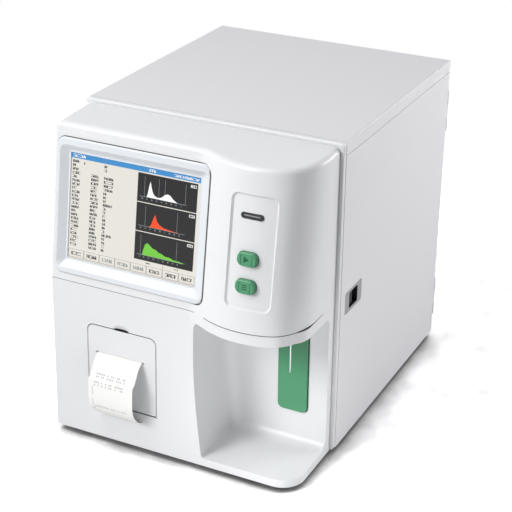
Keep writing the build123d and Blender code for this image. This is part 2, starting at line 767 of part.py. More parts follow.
# Left side panel with turned edges and threaded posts for the main board
board_y = body_front + 165.0
board_z = up(body_height - 156)
board_length = 190.0
board_tall = 150.0
post_length = 11.0
with BuildPart() as left_panel:
    with Locations((-half_width + sheet / 2, cover_mid, (foot_height + side_top) / 2)):
        Box(sheet, cover_depth, side_top - foot_height)
    with Locations((-inner_half + flange / 2, cover_mid, side_top - sheet / 2)):
        Box(flange, cover_depth - 4 * sheet, sheet)
    with Locations((-inner_half + flange / 2, body_back - 1.5 * sheet, (tray_top + flange + side_top) / 2)):
        Box(flange, sheet, side_top - tray_top - flange - sheet)
    with BuildSketch(Plane.YZ.offset(-inner_half - sheet / 2)):
        with Locations((board_y, board_z)):
            with GridLocations(board_length - 10, board_tall - 10, 2, 2):
                Circle(3)
    extrude(amount=sheet / 2 + post_length)
save(left_panel, "left_panel")

# Top cover: shallow lid with a rounded rim and side lips
with BuildPart() as top_cover:
    with Locations((0, cover_mid, (skirt_z + top_z) / 2)):
        Box(body_width, cover_depth, cover_skirt)
    top_edges = top_cover.faces().sort_by(Axis.Z)[-1].edges()
    fillet(top_edges.sort_by(Axis.Y)[1:], 2.2)
    with Locations((0, cover_mid, (skirt_z + top_z) / 2 - sheet)):
        Box(body_width - 2 * sheet, cover_depth - 2 * sheet, cover_skirt, mode=Mode.SUBTRACT)
save(top_cover, "top_cover")

# Rear measures, as seen in plan: fan, inlet, switch, sockets and fittings
fan_size = 80.0
fan_thick = 25.0
fan_x = -72.0
fan_z = up(body_height - 100)
fan_bore = 38.0
inlet_x = -118.0
inlet_z = up(52)
switch_x = -78.0
fitting_x = 92.0
fitting_z = up(96)
fitting_pitch = 26.0
socket_z = up(182)
ground_x = -44.0
rear_half = inner_half - moving_gap
inlet_width = 27.6
inlet_height = 24.6
switch_width = 19.0
switch_tall = 27.0
bush_radius = 6.0
socket_sizes = [(-128.0, 31.0, 12.5), (-88.0, 31.0, 12.5), (-50.0, 16.0, 13.5), (-26.0, 14.0, 7.0), (-6.0, 14.0, 7.0)]

# Rear panel with cut-outs for everything that passes through it
with BuildPart() as rear_panel:
    with Locations((0, body_back - sheet / 2, (tray_top + side_top) / 2)):
        Box(2 * rear_half, sheet, side_top - tray_top)
    with BuildSketch(body_plane.offset(-1)):
        with Locations((fan_x, fan_z)):
            Circle(fan_bore)
            with GridLocations(fan_size - 8.5, fan_size - 8.5, 2, 2):
                Circle(2.2)
        with Locations((inlet_x, inlet_z)):
            Rectangle(inlet_width, inlet_height)
        with Locations((switch_x, inlet_z)):
            Rectangle(switch_width, switch_tall)
        with Locations((ground_x, inlet_z)):
            Circle(2.5)
        with Locations((fitting_x, fitting_z)):
            with GridLocations(fitting_pitch, fitting_pitch, 2, 2):
                Circle(bush_radius)
        for x, width, tall in socket_sizes:
            with Locations((x, socket_z)):
                Rectangle(width, tall)
        with Locations((half_width / 2, up(0.75 * body_height))):
            with GridLocations(0, 8, 1, 9):
                SlotOverall(70, 3.5)
    extrude(amount=2 * sheet + 2, mode=Mode.SUBTRACT)
save(rear_panel, "rear_panel")

# Hinges of the side door
knuckle_radius = 3.2
pin_radius = 1.5
hinge_x = half_width - knuckle_radius
hinge_y = body_back + knuckle_radius
hinge_heights = [up(52), up(body_height - 70)]
knuckle_length = 18.0
door_front = cover_front
latch_y = body_front + 44.75
latch_z = up(187.5)
latch_length = 49.5
latch_tall = 29.0
latch_round = 4.0
latch_recess_length = 25.0
latch_recess_tall = 21.0
latch_depth = 8.0

# Side door: flat panel with turned front edge, rolled knuckles and the latch opening
with BuildPart() as right_door:
    with Locations((half_width - sheet / 2, (door_front + body_back) / 2, (foot_height + side_top) / 2)):
        Box(sheet, body_back - door_front, side_top - foot_height)
    with Locations((inner_half - 4, door_front + sheet / 2, (tray_top + flange + side_top) / 2)):
        Box(8, sheet, side_top - tray_top - flange - 4)
    with Locations((inner_half - 4, (door_front + body_back) / 2, side_top - sheet / 2)):
        Box(8, body_back - door_front - 20, sheet)
    for height in hinge_heights:
        with Locations((half_width - sheet / 2, hinge_y - knuckle_radius / 2, height)):
            Box(sheet, knuckle_radius, knuckle_length)
        with Locations((hinge_x, hinge_y, height)):
            Cylinder(knuckle_radius, knuckle_length)
            Cylinder(pin_radius + running_gap, 2 * knuckle_length, mode=Mode.SUBTRACT)
    with BuildSketch(Plane.YZ.offset(inner_half - sheet)):
        with Locations((latch_y, latch_z)):
            RectangleRounded(latch_length, latch_tall, latch_round)
    extrude(amount=3 * sheet, mode=Mode.SUBTRACT)
save(right_door, "right_door")

# Fixed hinge leaves on the rear panel, two knuckles each
with BuildPart() as hinge_leaves:
    for height in hinge_heights:
        with Locations((hinge_x - 10, body_back + sheet / 2, height)):
            Box(20, sheet, 3 * knuckle_length + 4 * moving_gap)
        for side in (-1, 1):
            with Locations((hinge_x, hinge_y, height + side * (knuckle_length + 2 * moving_gap))):
                Cylinder(knuckle_radius, knuckle_length)
        with Locations((hinge_x, hinge_y, height)):
            Cylinder(pin_radius, 4 * knuckle_length, mode=Mode.SUBTRACT)
            Box(
                4 * knuckle_radius,
                2 * knuckle_radius + 2 * moving_gap,
                knuckle_length + 4 * moving_gap,
                mode=Mode.SUBTRACT,
            )
save(hinge_leaves, "hinge_leaves")

with BuildPart() as hinge_pins:
    for height in hinge_heights:
        with Locations((hinge_x, hinge_y, height)):
            Cylinder(pin_radius, 3 * knuckle_length + 4 * moving_gap)
        with Locations((hinge_x, hinge_y, height + 1.5 * knuckle_length + 2 * moving_gap + 0.75)):
            Cylinder(2.6, 1.5)
save(hinge_pins, "hinge_pins")

# Flush latch in the door: moulded cup with a rim, and a thumb slide in it
with BuildPart() as latch_cup:
    with BuildSketch(Plane.YZ.offset(half_width)):
        with Locations((latch_y, latch_z)):
            RectangleRounded(latch_length - 0.2, latch_tall - 0.2, latch_round)
    extrude(amount=-sheet)
    fillet(latch_cup.faces().sort_by(Axis.X)[-1].edges(), 0.6)
    with BuildSketch(Plane.YZ.offset(inner_half)):
        with Locations((latch_y, latch_z)):
            RectangleRounded(latch_recess_length + 4, latch_recess_tall + 4, 3)
        with Locations((latch_y, latch_z)):
            RectangleRounded(latch_length + 6, latch_tall + 6, latch_round)
    extrude(amount=-1.5)
    with BuildSketch(Plane.YZ.offset(inner_half - 1.5)):
        with Locations((latch_y, latch_z)):
            RectangleRounded(latch_recess_length + 4, latch_recess_tall + 4, 3)
    extrude(amount=-(latch_depth + 2 - sheet - 1.5))
    with BuildSketch(Plane.YZ.offset(half_width)):
        with Locations((latch_y, latch_z)):
            RectangleRounded(latch_recess_length, latch_recess_tall, 2)
    extrude(amount=-latch_depth, mode=Mode.SUBTRACT)
save(latch_cup, "latch_cup")

thumb_length = 13.0
with BuildPart() as latch_slide:
    thumb_y = latch_y - (latch_recess_length - thumb_length) / 2 + 1.5
    with BuildSketch(Plane.YZ.offset(half_width - latch_depth + moving_gap)):
        with Locations((thumb_y, latch_z)):
            RectangleRounded(thumb_length, latch_recess_tall - 1.2, 1.5)
    extrude(amount=latch_depth - moving_gap - 2.5)
    fillet(latch_slide.faces().sort_by(Axis.X)[-1].edges(), 0.8)
    with BuildSketch(Plane.XY.offset(latch_z - latch_recess_tall)) as grip:
        with Locations((half_width - 2.5, thumb_y)):
            with GridLocations(0, 3, 1, 3):
                Rectangle(1.6, 1.2)
    extrude(amount=2 * latch_recess_tall, mode=Mode.SUBTRACT)
save(latch_slide, "latch_slide")

# Screws that hold the top cover, seen at the rear and along the base
screw_spots = [(-half_width + 14, skirt_z + 8), (0, skirt_z + 8), (half_width - 14, skirt_z + 8)]
screw_spots += [(-half_width + 14, tray_top + 8), (0, tray_top + 8), (half_width - 26, tray_top + 8)]
with BuildPart() as cover_screws:
    for x, z in screw_spots:
        with BuildSketch(body_plane):
            with Locations((x, z)):
                Circle(3)
        extrude(amount=-1.8)
    fillet(cover_screws.faces().group_by(Axis.Y)[-1].edges(), 1)
    for x, z in screw_spots:
        with BuildSketch(body_plane.offset(-1.8)):
            with Locations((x, z)):
                Rectangle(3, 0.7)
                Rectangle(0.7, 3)
        extrude(amount=0.8, mode=Mode.SUBTRACT)
save(cover_screws, "cover_screws")

# Sample probe unit inside the nose: bracket, rods, carriage, lead screw and motor
arm_low = 205.0
arm_high = panel_top - 27
arm_thick = 4.0
arm_half = 27.0
rod_x = 15.0
rod_reach = 28.0
rod_radius = 3.0
screw_reach = 20.0
screw_radius = 3.0
carriage_low = 230.0
carriage_height = 20.0
carriage_width = 44.0
with BuildPart() as probe_bracket:
    with BuildSketch(Plane.YZ.offset(probe_x - arm_half)):
        with Locations((fwd(1), up((arm_low + arm_high + arm_thick) / 2))):
            Rectangle(2, arm_high + arm_thick - arm_low)
        with Locations((fwd(probe_reach + 12) / 2 + fwd(0) / 2, up(arm_low + arm_thick / 2))):
            Rectangle(probe_reach + 12, arm_thick)
        with Locations((fwd(rod_reach + 10) / 2 + fwd(0) / 2, up(arm_high + arm_thick / 2))):
            Rectangle(rod_reach + 10, arm_thick)
    extrude(amount=2 * arm_half)
    with BuildSketch(Plane.XY.offset(up(arm_low - 1))):
        with Locations((probe_x, fwd(probe_reach))):
            Circle(wash_radius - 2)
    extrude(amount=arm_thick + 2, mode=Mode.SUBTRACT)
    with BuildSketch(Plane.XZ.offset(-fwd(-1))):
        with Locations((probe_x, up((arm_low + arm_high) / 2))):
            SlotOverall(0.6 * (arm_high - arm_low), 24, rotation=90)
    extrude(amount=4, mode=Mode.SUBTRACT)
save(probe_bracket, "probe_bracket")

with BuildPart() as probe_rods:
    with Locations((probe_x - rod_x, fwd(rod_reach), up(arm_low + arm_thick)), (probe_x + rod_x, fwd(rod_reach), up(arm_low + arm_thick))):
        Cylinder(rod_radius, arm_high - arm_low - arm_thick, align=(Align.CENTER, Align.CENTER, Align.MIN))
save(probe_rods, "probe_rods")

with BuildPart() as probe_screw:
    with Locations((probe_x, fwd(screw_reach), up(arm_low + arm_thick) + moving_gap)):
        Cylinder(
            screw_radius,
            arm_high - arm_low - arm_thick - 2 * moving_gap,
            align=(Align.CENTER, Align.CENTER, Align.MIN),
        )
save(probe_screw, "probe_screw")

# Carriage that lifts the probe, with a clamp boss in front
carriage_back = 14.0
carriage_front = 48.0
with BuildPart() as probe_carriage:
    with BuildSketch(Plane.XY.offset(up(carriage_low))) as carriage_plan:
        with Locations((probe_x, fwd((carriage_back + rod_reach + 8) / 2))):
            Rectangle(carriage_width, rod_reach + 8 - carriage_back)
        with Locations((probe_x, fwd((rod_reach + carriage_front) / 2))):
            Rectangle(18, carriage_front - rod_reach)
        fillet(carriage_plan.vertices(), 2)
        with Locations((probe_x - rod_x, fwd(rod_reach)), (probe_x + rod_x, fwd(rod_reach))):
            Circle(rod_radius + running_gap, mode=Mode.SUBTRACT)
        with Locations((probe_x, fwd(screw_reach))):
            Circle(screw_radius + running_gap, mode=Mode.SUBTRACT)
        with Locations((probe_x, fwd(probe_reach))):
            Circle(probe_radius, mode=Mode.SUBTRACT)
    extrude(amount=carriage_height)
save(probe_carriage, "probe_carriage")

# Sample probe: thin steel tube with a slanted tip and a collar on the carriage
with BuildPart() as sample_probe:
    with Locations((probe_x, fwd(probe_reach), up(probe_tip))):
        Cylinder(
            probe_radius,
            carriage_low + carriage_height + 14 - probe_tip,
            align=(Align.CENTER, Align.CENTER, Align.MIN),
        )
    with BuildSketch(Plane.YZ.offset(probe_x - 2)):
        with Locations((fwd(probe_reach), up(probe_tip))):
            Rectangle(2 * probe_radius + 1, 1.6, rotation=35)
    extrude(amount=4, mode=Mode.SUBTRACT)
    with Locations((probe_x, fwd(probe_reach), up(carriage_low + carriage_height))):
        Cylinder(3.2, 8, align=(Align.CENTER, Align.CENTER, Align.MIN))
save(sample_probe, "sample_probe")

# Wash block round the probe, with a side spigot for the rinse line
with BuildPart() as wash_block:
    with Locations((probe_x, fwd(probe_reach), up(arm_low))):
        Cylinder(wash_radius, arm_low - nose_bottom + 3, align=(Align.CENTER, Align.CENTER, Align.MAX))
        Cylinder(wash_radius + 3, 5, align=(Align.CENTER, Align.CENTER, Align.MAX))
    fillet(wash_block.faces().sort_by(Axis.Z)[0].edges(), 1.5)
    with Locations((probe_x - wash_radius - 5, fwd(probe_reach), up(arm_low - 2.5))):
        Cylinder(1.5, 8, rotation=(0, 90, 0))
    with Locations((probe_x, fwd(probe_reach), up(arm_low) + 1)):
        Cylinder(probe_radius + 0.3, 40, align=(Align.CENTER, Align.CENTER, Align.MAX), mode=Mode.SUBTRACT)
save(wash_block, "wash_block")

with BuildPart() as probe_motor:
    with Locations((probe_x, fwd(screw_reach + 2), up(arm_high + arm_thick))):
        Box(28, 28, 11, align=(Align.CENTER, Align.CENTER, Align.MIN))
    chamfer(probe_motor.edges().filter_by(Axis.Z), 2.5)
save(probe_motor, "probe_motor")

# Upright plate that carries the fluidics, standing on the tray
plate_mid = (plate_front + plate_back) / 2
plate_face = plate_x + sheet
with BuildPart() as fluidics_plate:
    with BuildSketch(Plane.YZ.offset(plate_x)) as plate_side:
        with Locations((plate_mid, (tray_top + plate_top) / 2)):
            Rectangle(plate_back - plate_front, plate_top - tray_top)
        fillet(plate_side.vertices().group_by(Axis.Y)[-1], 12)
        with Locations((plate_mid + 30, up(236))):
            SlotOverall(60, 16, mode=Mode.SUBTRACT)
    extrude(amount=sheet)
    with Locations((plate_x - 7, plate_mid, tray_top + sheet / 2)):
        Box(14, plate_back - plate_front - 20, sheet)
save(fluidics_plate, "fluidics_plate")

# Two clear counting baths on a common foot
bath_y = (plate_front + 36.0, plate_front + 72.0)
bath_x = plate_face + 22
bath_radius = 11.0
bath_low = up(176)
with BuildPart() as counting_baths:
    with Locations((plate_face + 9, (bath_y[0] + bath_y[1]) / 2, bath_low - 9)):
        Box(18, 66, 12)
    with Locations((plate_face + 21, (bath_y[0] + bath_y[1]) / 2, bath_low - 9)):
        Box(26, 62, 6)
    for y in bath_y:
        with Locations((bath_x, y, bath_low - 6)):
            Cylinder(bath_radius - 4, 8, align=(Align.CENTER, Align.CENTER, Align.MIN))
        with Locations((bath_x, y, bath_low)):
            Cylinder(bath_radius, 42, align=(Align.CENTER, Align.CENTER, Align.MIN))
        with Locations((bath_x, y, bath_low + 3)):
            Cylinder(
                bath_radius - 2,
                60,
                align=(Align.CENTER, Align.CENTER, Align.MIN),
                mode=Mode.SUBTRACT,
            )
save(counting_baths, "counting_baths")

# Screening can round the baths, open at the top
shield_y = (bath_y[0] + bath_y[1]) / 2
shield_low = bath_low - 3
with BuildPart() as bath_shield:
    with Locations((plate_face + 22.5, shield_y, shield_low + 32)):
        Box(45, 84, 64)
    with Locations((plate_face + 22.5 - 1, shield_y, shield_low + 32)):
        Box(45, 82, 66, mode=Mode.SUBTRACT)
save(bath_shield, "bath_shield")

# Syringe pumps: bracket, barrels, plungers and motors
syringe_x = plate_face + 24
diluent_y = plate_front + 140.0
sample_y = plate_front + 178.0
barrel_low = up(150)
barrel_length = 62.0
diluent_radius = 9.0
sample_radius = 6.0
barrel_wall = 1.6
motor_low = up(38)
motor_size = 32.0
motor_tall = 30.0
with BuildPart() as syringe_bracket:
    bracket_y = (diluent_y + sample_y) / 2
    with Locations((plate_face + 1.5, bracket_y, (motor_low + barrel_low + 70) / 2)):
        Box(3, 80, barrel_low + 70 - motor_low)
    with Locations((plate_face + 20, bracket_y, barrel_low - 3)):
        Box(40, 80, 6)
    with Locations((plate_face + 20, bracket_y, motor_low + motor_tall + 2)):
        Box(40, 80, 4)
    with BuildSketch(Plane.XY.offset(barrel_low - 10)):
        with Locations((syringe_x, diluent_y), (syringe_x, sample_y)):
            Circle(4.5)
    extrude(amount=12, mode=Mode.SUBTRACT)
save(syringe_bracket, "syringe_bracket")


def barrel(name, y, radius):
    """Glass barrel standing on the bracket, with a capped top and an outlet spigot."""
    with BuildPart() as tube:
        with Locations((syringe_x, y, barrel_low)):
            Cylinder(radius, barrel_length, align=(Align.CENTER, Align.CENTER, Align.MIN))
            Cylinder(
                radius - barrel_wall,
                barrel_length - 6,
                align=(Align.CENTER, Align.CENTER, Align.MIN),
                mode=Mode.SUBTRACT,
            )
        with Locations((syringe_x, y, barrel_low + barrel_length)):
            Cylinder(3, 6, align=(Align.CENTER, Align.CENTER, Align.MIN))
        with Locations((syringe_x, y, barrel_low + barrel_length - 8)):
            Cylinder(1, 20, align=(Align.CENTER, Align.CENTER, Align.MIN), mode=Mode.SUBTRACT)
    save(tube, name)


def plunger(name, y, radius):
    """Piston on a rod with a cross-block that the motor drives."""
    with BuildPart() as rod:
        with Locations((syringe_x, y, barrel_low + 6)):
            Cylinder(radius - barrel_wall - running_gap, 8, align=(Align.CENTER, Align.CENTER, Align.MIN))
        with Locations((syringe_x, y, barrel_low - 40)):
            Cylinder(2.5, 48, align=(Align.CENTER, Align.CENTER, Align.MIN))
        with Locations((syringe_x, y, barrel_low - 40)):
            Box(20, 20, 6, align=(Align.CENTER, Align.CENTER, Align.MAX))
    save(rod, name)


barrel("diluent_barrel", diluent_y, diluent_radius)
barrel("sample_barrel", sample_y, sample_radius)
plunger("diluent_plunger", diluent_y, diluent_radius)
plunger("sample_plunger", sample_y, sample_radius)

with BuildPart() as syringe_motors:
    for y in (diluent_y, sample_y):
        with Locations((syringe_x, y, motor_low)):
            Box(motor_size, motor_size, motor_tall, align=(Align.CENTER, Align.CENTER, Align.MIN))
    chamfer(syringe_motors.edges().filter_by(Axis.Z), 3)
    for y in (diluent_y, sample_y):
        with Locations((plate_face + 5.5, y, motor_low + motor_tall / 2)):
            Box(5, 14, 14)
save(syringe_motors, "syringe_motors")

# Row of pinch valves on a manifold bar
valve_y = plate_front + 60.0
valve_pitch = 26.0
valve_z = up(body_height - 92)
with BuildPart() as solenoid_valves:
    with Locations((plate_face + 4, valve_y + 2 * valve_pitch - 13, valve_z)):
        Box(8, 6 * valve_pitch, 34)
    for step in range(6):
        with Locations((plate_face + 8, valve_y + (step - 1) * valve_pitch, valve_z)):
            Box(26, 20, 26, align=(Align.MIN, Align.CENTER, Align.CENTER))
        with Locations((plate_face + 34, valve_y + (step - 1) * valve_pitch, valve_z)):
            Cylinder(6, 8, rotation=(0, 90, 0), align=(Align.CENTER, Align.CENTER, Align.MIN))
        with Locations((plate_face + 21, valve_y + (step - 1) * valve_pitch, valve_z + 13)):
            Cylinder(2, 8, align=(Align.CENTER, Align.CENTER, Align.MIN))
save(solenoid_valves, "solenoid_valves")

# Vacuum chamber: clear pot with caps, held by a band
chamber_y = plate_front + 44.0
chamber_radius = 26.0
chamber_low = up(36)
with BuildPart() as vacuum_chamber:
    with Locations((plate_face + chamber_radius + 4, chamber_y, chamber_low)):
        Cylinder(chamber_radius, 84, align=(Align.CENTER, Align.CENTER, Align.MIN))
        Cylinder(
            chamber_radius - 3,
            78,
            align=(Align.CENTER, Align.CENTER, Align.MIN),
            mode=Mode.SUBTRACT,
        )
        Cylinder(chamber_radius + 2, 8, align=(Align.CENTER, Align.CENTER, Align.MAX))
    for y in (-12, 12):
        with Locations((plate_face + chamber_radius + 4, chamber_y + y, chamber_low + 84)):
            Cylinder(2.5, 9, align=(Align.CENTER, Align.CENTER, Align.MIN))
    with Locations((plate_face + 6, chamber_y, chamber_low + 40)):
        Box(12, 30, 16)
    with Locations((plate_face + chamber_radius + 4, chamber_y, chamber_low + 2)):
        Cylinder(chamber_radius - 3, 74, align=(Align.CENTER, Align.CENTER, Align.MIN), mode=Mode.SUBTRACT)
save(vacuum_chamber, "vacuum_chamber")

# Two diaphragm pumps on the other side of the plate
with BuildPart() as diaphragm_pumps:
    for y in (plate_front + 70, plate_front + 130):
        with Locations((plate_x, y, up(70))):
            Box(34, 34, 34, align=(Align.MAX, Align.CENTER, Align.CENTER))
        with Locations((plate_x - 17, y, up(70) + 17)):
            Cylinder(14, 34, align=(Align.CENTER, Align.CENTER, Align.MIN))
        with Locations((plate_x - 34, y - 8, up(70)), (plate_x - 34, y + 8, up(70))):
            Cylinder(2.2, 8, rotation=(0, 90, 0), align=(Align.CENTER, Align.CENTER, Align.MAX))
save(diaphragm_pumps, "diaphragm_pumps")

# Switched power supply in a vented cage on the tray
supply_x = -half_width + 64
supply_y = body_front + 190
supply_width = 96.0
supply_length = 150.0
supply_height = 44.0
with BuildPart() as power_supply:
    with Locations((supply_x, supply_y, tray_top)):
        Box(supply_width, supply_length, supply_height, align=(Align.CENTER, Align.CENTER, Align.MIN))
    with BuildSketch(Plane.XY.offset(tray_top + supply_height - 1)):
        with Locations((supply_x, supply_y)):
            with GridLocations(0, 9, 1, 12):
                SlotOverall(supply_width - 30, 4)
    extrude(amount=2, mode=Mode.SUBTRACT)
    with Locations((supply_x, supply_y - supply_length / 2 - 4, tray_top + 14)):
        Box(supply_width - 20, 8, 12)
save(power_supply, "power_supply")

# Main board on the posts of the left panel
board_x = -inner_half + post_length
with BuildPart() as main_board:
    with Locations((board_x + 0.8, board_y, board_z)):
        Box(1.6, board_length, board_tall)
    with BuildSketch(Plane.YZ.offset(board_x + 1.6)):
        with Locations((board_y, board_z + 20)):
            Rectangle(34, 34)
        with Locations((board_y + 50, board_z + 40)):
            Rectangle(24, 30)
        with Locations((board_y - 50, board_z - 20)):
            with GridLocations(0, 18, 1, 4):
                Rectangle(20, 8)
    extrude(amount=2.5)
    with BuildSketch(Plane.YZ.offset(board_x + 1.6)):
        with Locations((board_y + 30, board_z - board_tall / 2 + 8)):
            with GridLocations(30, 0, 3, 1):
                Rectangle(24, 8)
    extrude(amount=9)
    with BuildSketch(Plane.YZ.offset(board_x + 1.6)):
        with Locations((board_y - 70, board_z + 50)):
            with GridLocations(14, 0, 3, 1):
                Circle(5)
    extrude(amount=14)
save(main_board, "main_board")

# Cooling fan inside the rear panel
rotor_radius = 35.5
hub_radius = 16.0
fan_front = body_back - sheet - fan_thick
with BuildPart() as fan_housing:
    with Locations((fan_x, fan_front + fan_thick / 2, fan_z)):
        Box(fan_size, fan_thick, fan_size)
    fillet(fan_housing.edges().filter_by(Axis.Y), 4)
    with Locations((fan_x, fan_front + fan_thick / 2, fan_z)):
        Cylinder(fan_bore, fan_thick + 2, rotation=(90, 0, 0), mode=Mode.SUBTRACT)
        with Locations((0, -fan_thick / 2 + 2, 0)):
            Cylinder(hub_radius, 4, rotation=(90, 0, 0))
            Box(2 * fan_bore + 2, 4, 5)
            Box(5, 4, 2 * fan_bore + 2)
save(fan_housing, "fan_housing")

with BuildPart() as fan_rotor:
    with Locations((fan_x, fan_front + 4 + moving_gap, fan_z)):
        Cylinder(hub_radius, 18, rotation=(-90, 0, 0), align=(Align.CENTER, Align.CENTER, Align.MIN))
    for step in range(7):
        turn = 360 * step / 7
        a = radians(turn)
        middle = (hub_radius + rotor_radius) / 2 - 0.8
        spot = Plane(
            origin=(fan_x + middle * cos(a), fan_front + 14, fan_z + middle * sin(a)),
            x_dir=(cos(a), 0, sin(a)),
            z_dir=(0, 1, 0),
        )
        with Locations(spot * Location((0, 0, 0), (38, 0, 0))):
            Box(rotor_radius - hub_radius + 1, 20, 1.4)
save(fan_rotor, "fan_rotor")

# Finger guard of wire rings on the outside
guard_wire = 0.9
with BuildPart() as fan_guard:
    with Locations((fan_x, body_back + 3, fan_z)):
        for radius in (9, 18, 27, 36):
            Torus(radius, guard_wire, rotation=(90, 0, 0))
        Cylinder(5, 2, rotation=(90, 0, 0))
    for turn in (0, 90):
        with Locations(Location((fan_x, body_back + 1.8, fan_z), (0, turn + 45, 0))):
            Cylinder(guard_wire, 2 * (fan_bore + 9))
    corner = (fan_size - 8.5) / 2
    with BuildSketch(body_plane):
        with Locations((fan_x, fan_z)):
            with GridLocations(2 * corner, 2 * corner, 2, 2):
                Circle(4)
    extrude(amount=-1.8)
    with Locations((fan_x, body_back, fan_z)):
        for dx in (-corner, corner):
            for dz in (-corner, corner):
                with Locations((dx, -sheet / 2, dz)):
                    Cylinder(2, sheet, rotation=(90, 0, 0))
save(fan_guard, "fan_guard")

# Mains inlet with flange and three blades in a keyed recess
with BuildPart() as power_inlet:
    with BuildSketch(body_plane) as inlet_flange:
        with Locations((inlet_x, inlet_z)):
            Rectangle(inlet_width + 4, inlet_height + 6)
        fillet(inlet_flange.vertices(), 3)
    extrude(amount=-2.5)
    with BuildSketch(body_plane):
        with Locations((inlet_x, inlet_z)):
            Rectangle(inlet_width - 0.2, inlet_height - 0.2)
    extrude(amount=20)
    with BuildSketch(body_plane.offset(-2.5)) as inlet_mouth:
        with Locations((inlet_x, inlet_z)):
            Rectangle(24, 16.6)
        chamfer(inlet_mouth.vertices().group_by(Axis.Y)[-1], 4)
    extrude(amount=18, mode=Mode.SUBTRACT)
    with BuildSketch(body_plane.offset(15.5)):
        with Locations((inlet_x - 6.5, inlet_z - 2), (inlet_x, inlet_z + 2), (inlet_x + 6.5, inlet_z - 2)):
            Rectangle(2, 4)
    extrude(amount=-14)
save(power_inlet, "power_inlet")

# Mains rocker switch: frame and rocker
with BuildPart() as switch_frame:
    with BuildSketch(body_plane):
        with Locations((switch_x, inlet_z)):
            RectangleRounded(switch_width + 2.4, switch_tall + 3, 1)
    extrude(amount=-2)
    with BuildSketch(body_plane):
        with Locations((switch_x, inlet_z)):
            Rectangle(switch_width - 0.2, switch_tall - 0.2)
    extrude(amount=16)
    with BuildSketch(body_plane.offset(-2)):
        with Locations((switch_x, inlet_z)):
            Rectangle(switch_width - 4, switch_tall - 4)
    extrude(amount=14, mode=Mode.SUBTRACT)
    with Locations((switch_x, body_back - 5, inlet_z)):
        Cylinder(1.5, switch_width - 2, rotation=(0, 90, 0))
save(switch_frame, "switch_frame")

with BuildPart() as power_switch:
    with BuildSketch(Plane.YZ.offset(switch_x - (switch_width - 5) / 2)) as rocker_side:
        with BuildLine():
            Polyline(
                (body_back + 2.0, inlet_z - 10.2),
                (body_back + 0.2, inlet_z),
                (body_back + 2.0, inlet_z + 10.2),
                (body_back - 3.5, inlet_z + 10.2),
                (body_back - 8.5, inlet_z + 3),
                (body_back - 8.5, inlet_z - 3),
                (body_back - 3.5, inlet_z - 10.2),
                (body_back + 2.0, inlet_z - 10.2),
            )
        make_face()
    extrude(amount=switch_width - 5)
    with Locations((switch_x, body_back - 5, inlet_z)):
        Cylinder(1.5 + running_gap, 2 * switch_width, rotation=(0, 90, 0), mode=Mode.SUBTRACT)
save(power_switch, "power_switch")

# Bulkhead fittings with hex nuts and barbed spigots, the longest things behind the body
with BuildPart() as reagent_fittings:
    with BuildSketch(body_plane.offset(-3.5)):
        with Locations((fitting_x, fitting_z)):
            with GridLocations(fitting_pitch, fitting_pitch, 2, 2):
                RegularPolygon(9, 6)
    extrude(amount=3.5)
    with BuildSketch(body_plane.offset(-7)):
        with Locations((fitting_x, fitting_z)):
            with GridLocations(fitting_pitch, fitting_pitch, 2, 2):
                Circle(bush_radius)
    extrude(amount=20)
    with BuildSketch(body_plane.offset(sheet)):
        with Locations((fitting_x, fitting_z)):
            with GridLocations(fitting_pitch, fitting_pitch, 2, 2):
                RegularPolygon(9, 6)
    extrude(amount=4)
    with BuildSketch(body_plane.offset(-7)):
        with Locations((fitting_x, fitting_z)):
            with GridLocations(fitting_pitch, fitting_pitch, 2, 2):
                Circle(2.6)
    extrude(amount=-(rear_reach - 7))
    for reach in (10, 13.3, 16.7):
        with BuildSketch(body_plane.offset(-reach)):
            with Locations((fitting_x, fitting_z)):
                with GridLocations(fitting_pitch, fitting_pitch, 2, 2):
                    Circle(3.5)
        extrude(amount=-(rear_reach - 16.7), taper=20)
    with BuildSketch(body_plane.offset(-rear_reach)):
        with Locations((fitting_x, fitting_z)):
            with GridLocations(fitting_pitch, fitting_pitch, 2, 2):
                Circle(1.5)
    extrude(amount=rear_reach + 14, mode=Mode.SUBTRACT)
save(reagent_fittings, "reagent_fittings")

# Data sockets: two serial ports, a network port and two small ports
with BuildPart() as data_sockets:
    for x, width, tall in socket_sizes:
        with BuildSketch(body_plane.offset(-1.2)):
            with Locations((x, socket_z)):
                RectangleRounded(width - 0.3, tall - 0.3, 1)
                RectangleRounded(width - 5, tall - 4, 1, mode=Mode.SUBTRACT)
        extrude(amount=14)
        with BuildSketch(body_plane.offset(6)):
            with Locations((x, socket_z)):
                Rectangle(width - 3, tall - 3)
        extrude(amount=8)
    with Locations(((socket_sizes[0][0] + socket_sizes[-1][0]) / 2, body_back - 14, socket_z - 8)):
        Box(socket_sizes[-1][0] - socket_sizes[0][0] + 44, 24, 1.6)
save(data_sockets, "data_sockets")

with BuildPart() as ground_post:
    with BuildSketch(body_plane.offset(-1.5)):
        with Locations((ground_x, inlet_z)):
            Circle(2.5)
    extrude(amount=10)
    with BuildSketch(body_plane):
        with Locations((ground_x, inlet_z)):
            Circle(6)
    extrude(amount=-1.5)
    with BuildSketch(body_plane.offset(sheet)):
        with Locations((ground_x, inlet_z)):
            RegularPolygon(5, 6)
    extrude(amount=3)
    with BuildSketch(body_plane.offset(-1.5)):
        with Locations((ground_x, inlet_z)):
            Circle(4)
            with GridLocations(12, 0, 2, 1):
                SlotOverall(8, 3)
            Rectangle(14, 2.4)
    extrude(amount=-4)
    with BuildSketch(body_plane.offset(-5.5)):
        with Locations((ground_x, inlet_z)):
            Circle(2.2)
    extrude(amount=-4)
save(ground_post, "ground_post")
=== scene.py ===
import bmesh
import bpy
import math
import random
from bpy.props import FloatProperty, FloatVectorProperty, IntProperty, PointerProperty
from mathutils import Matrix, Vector
from mathutils.bvhtree import BVHTree


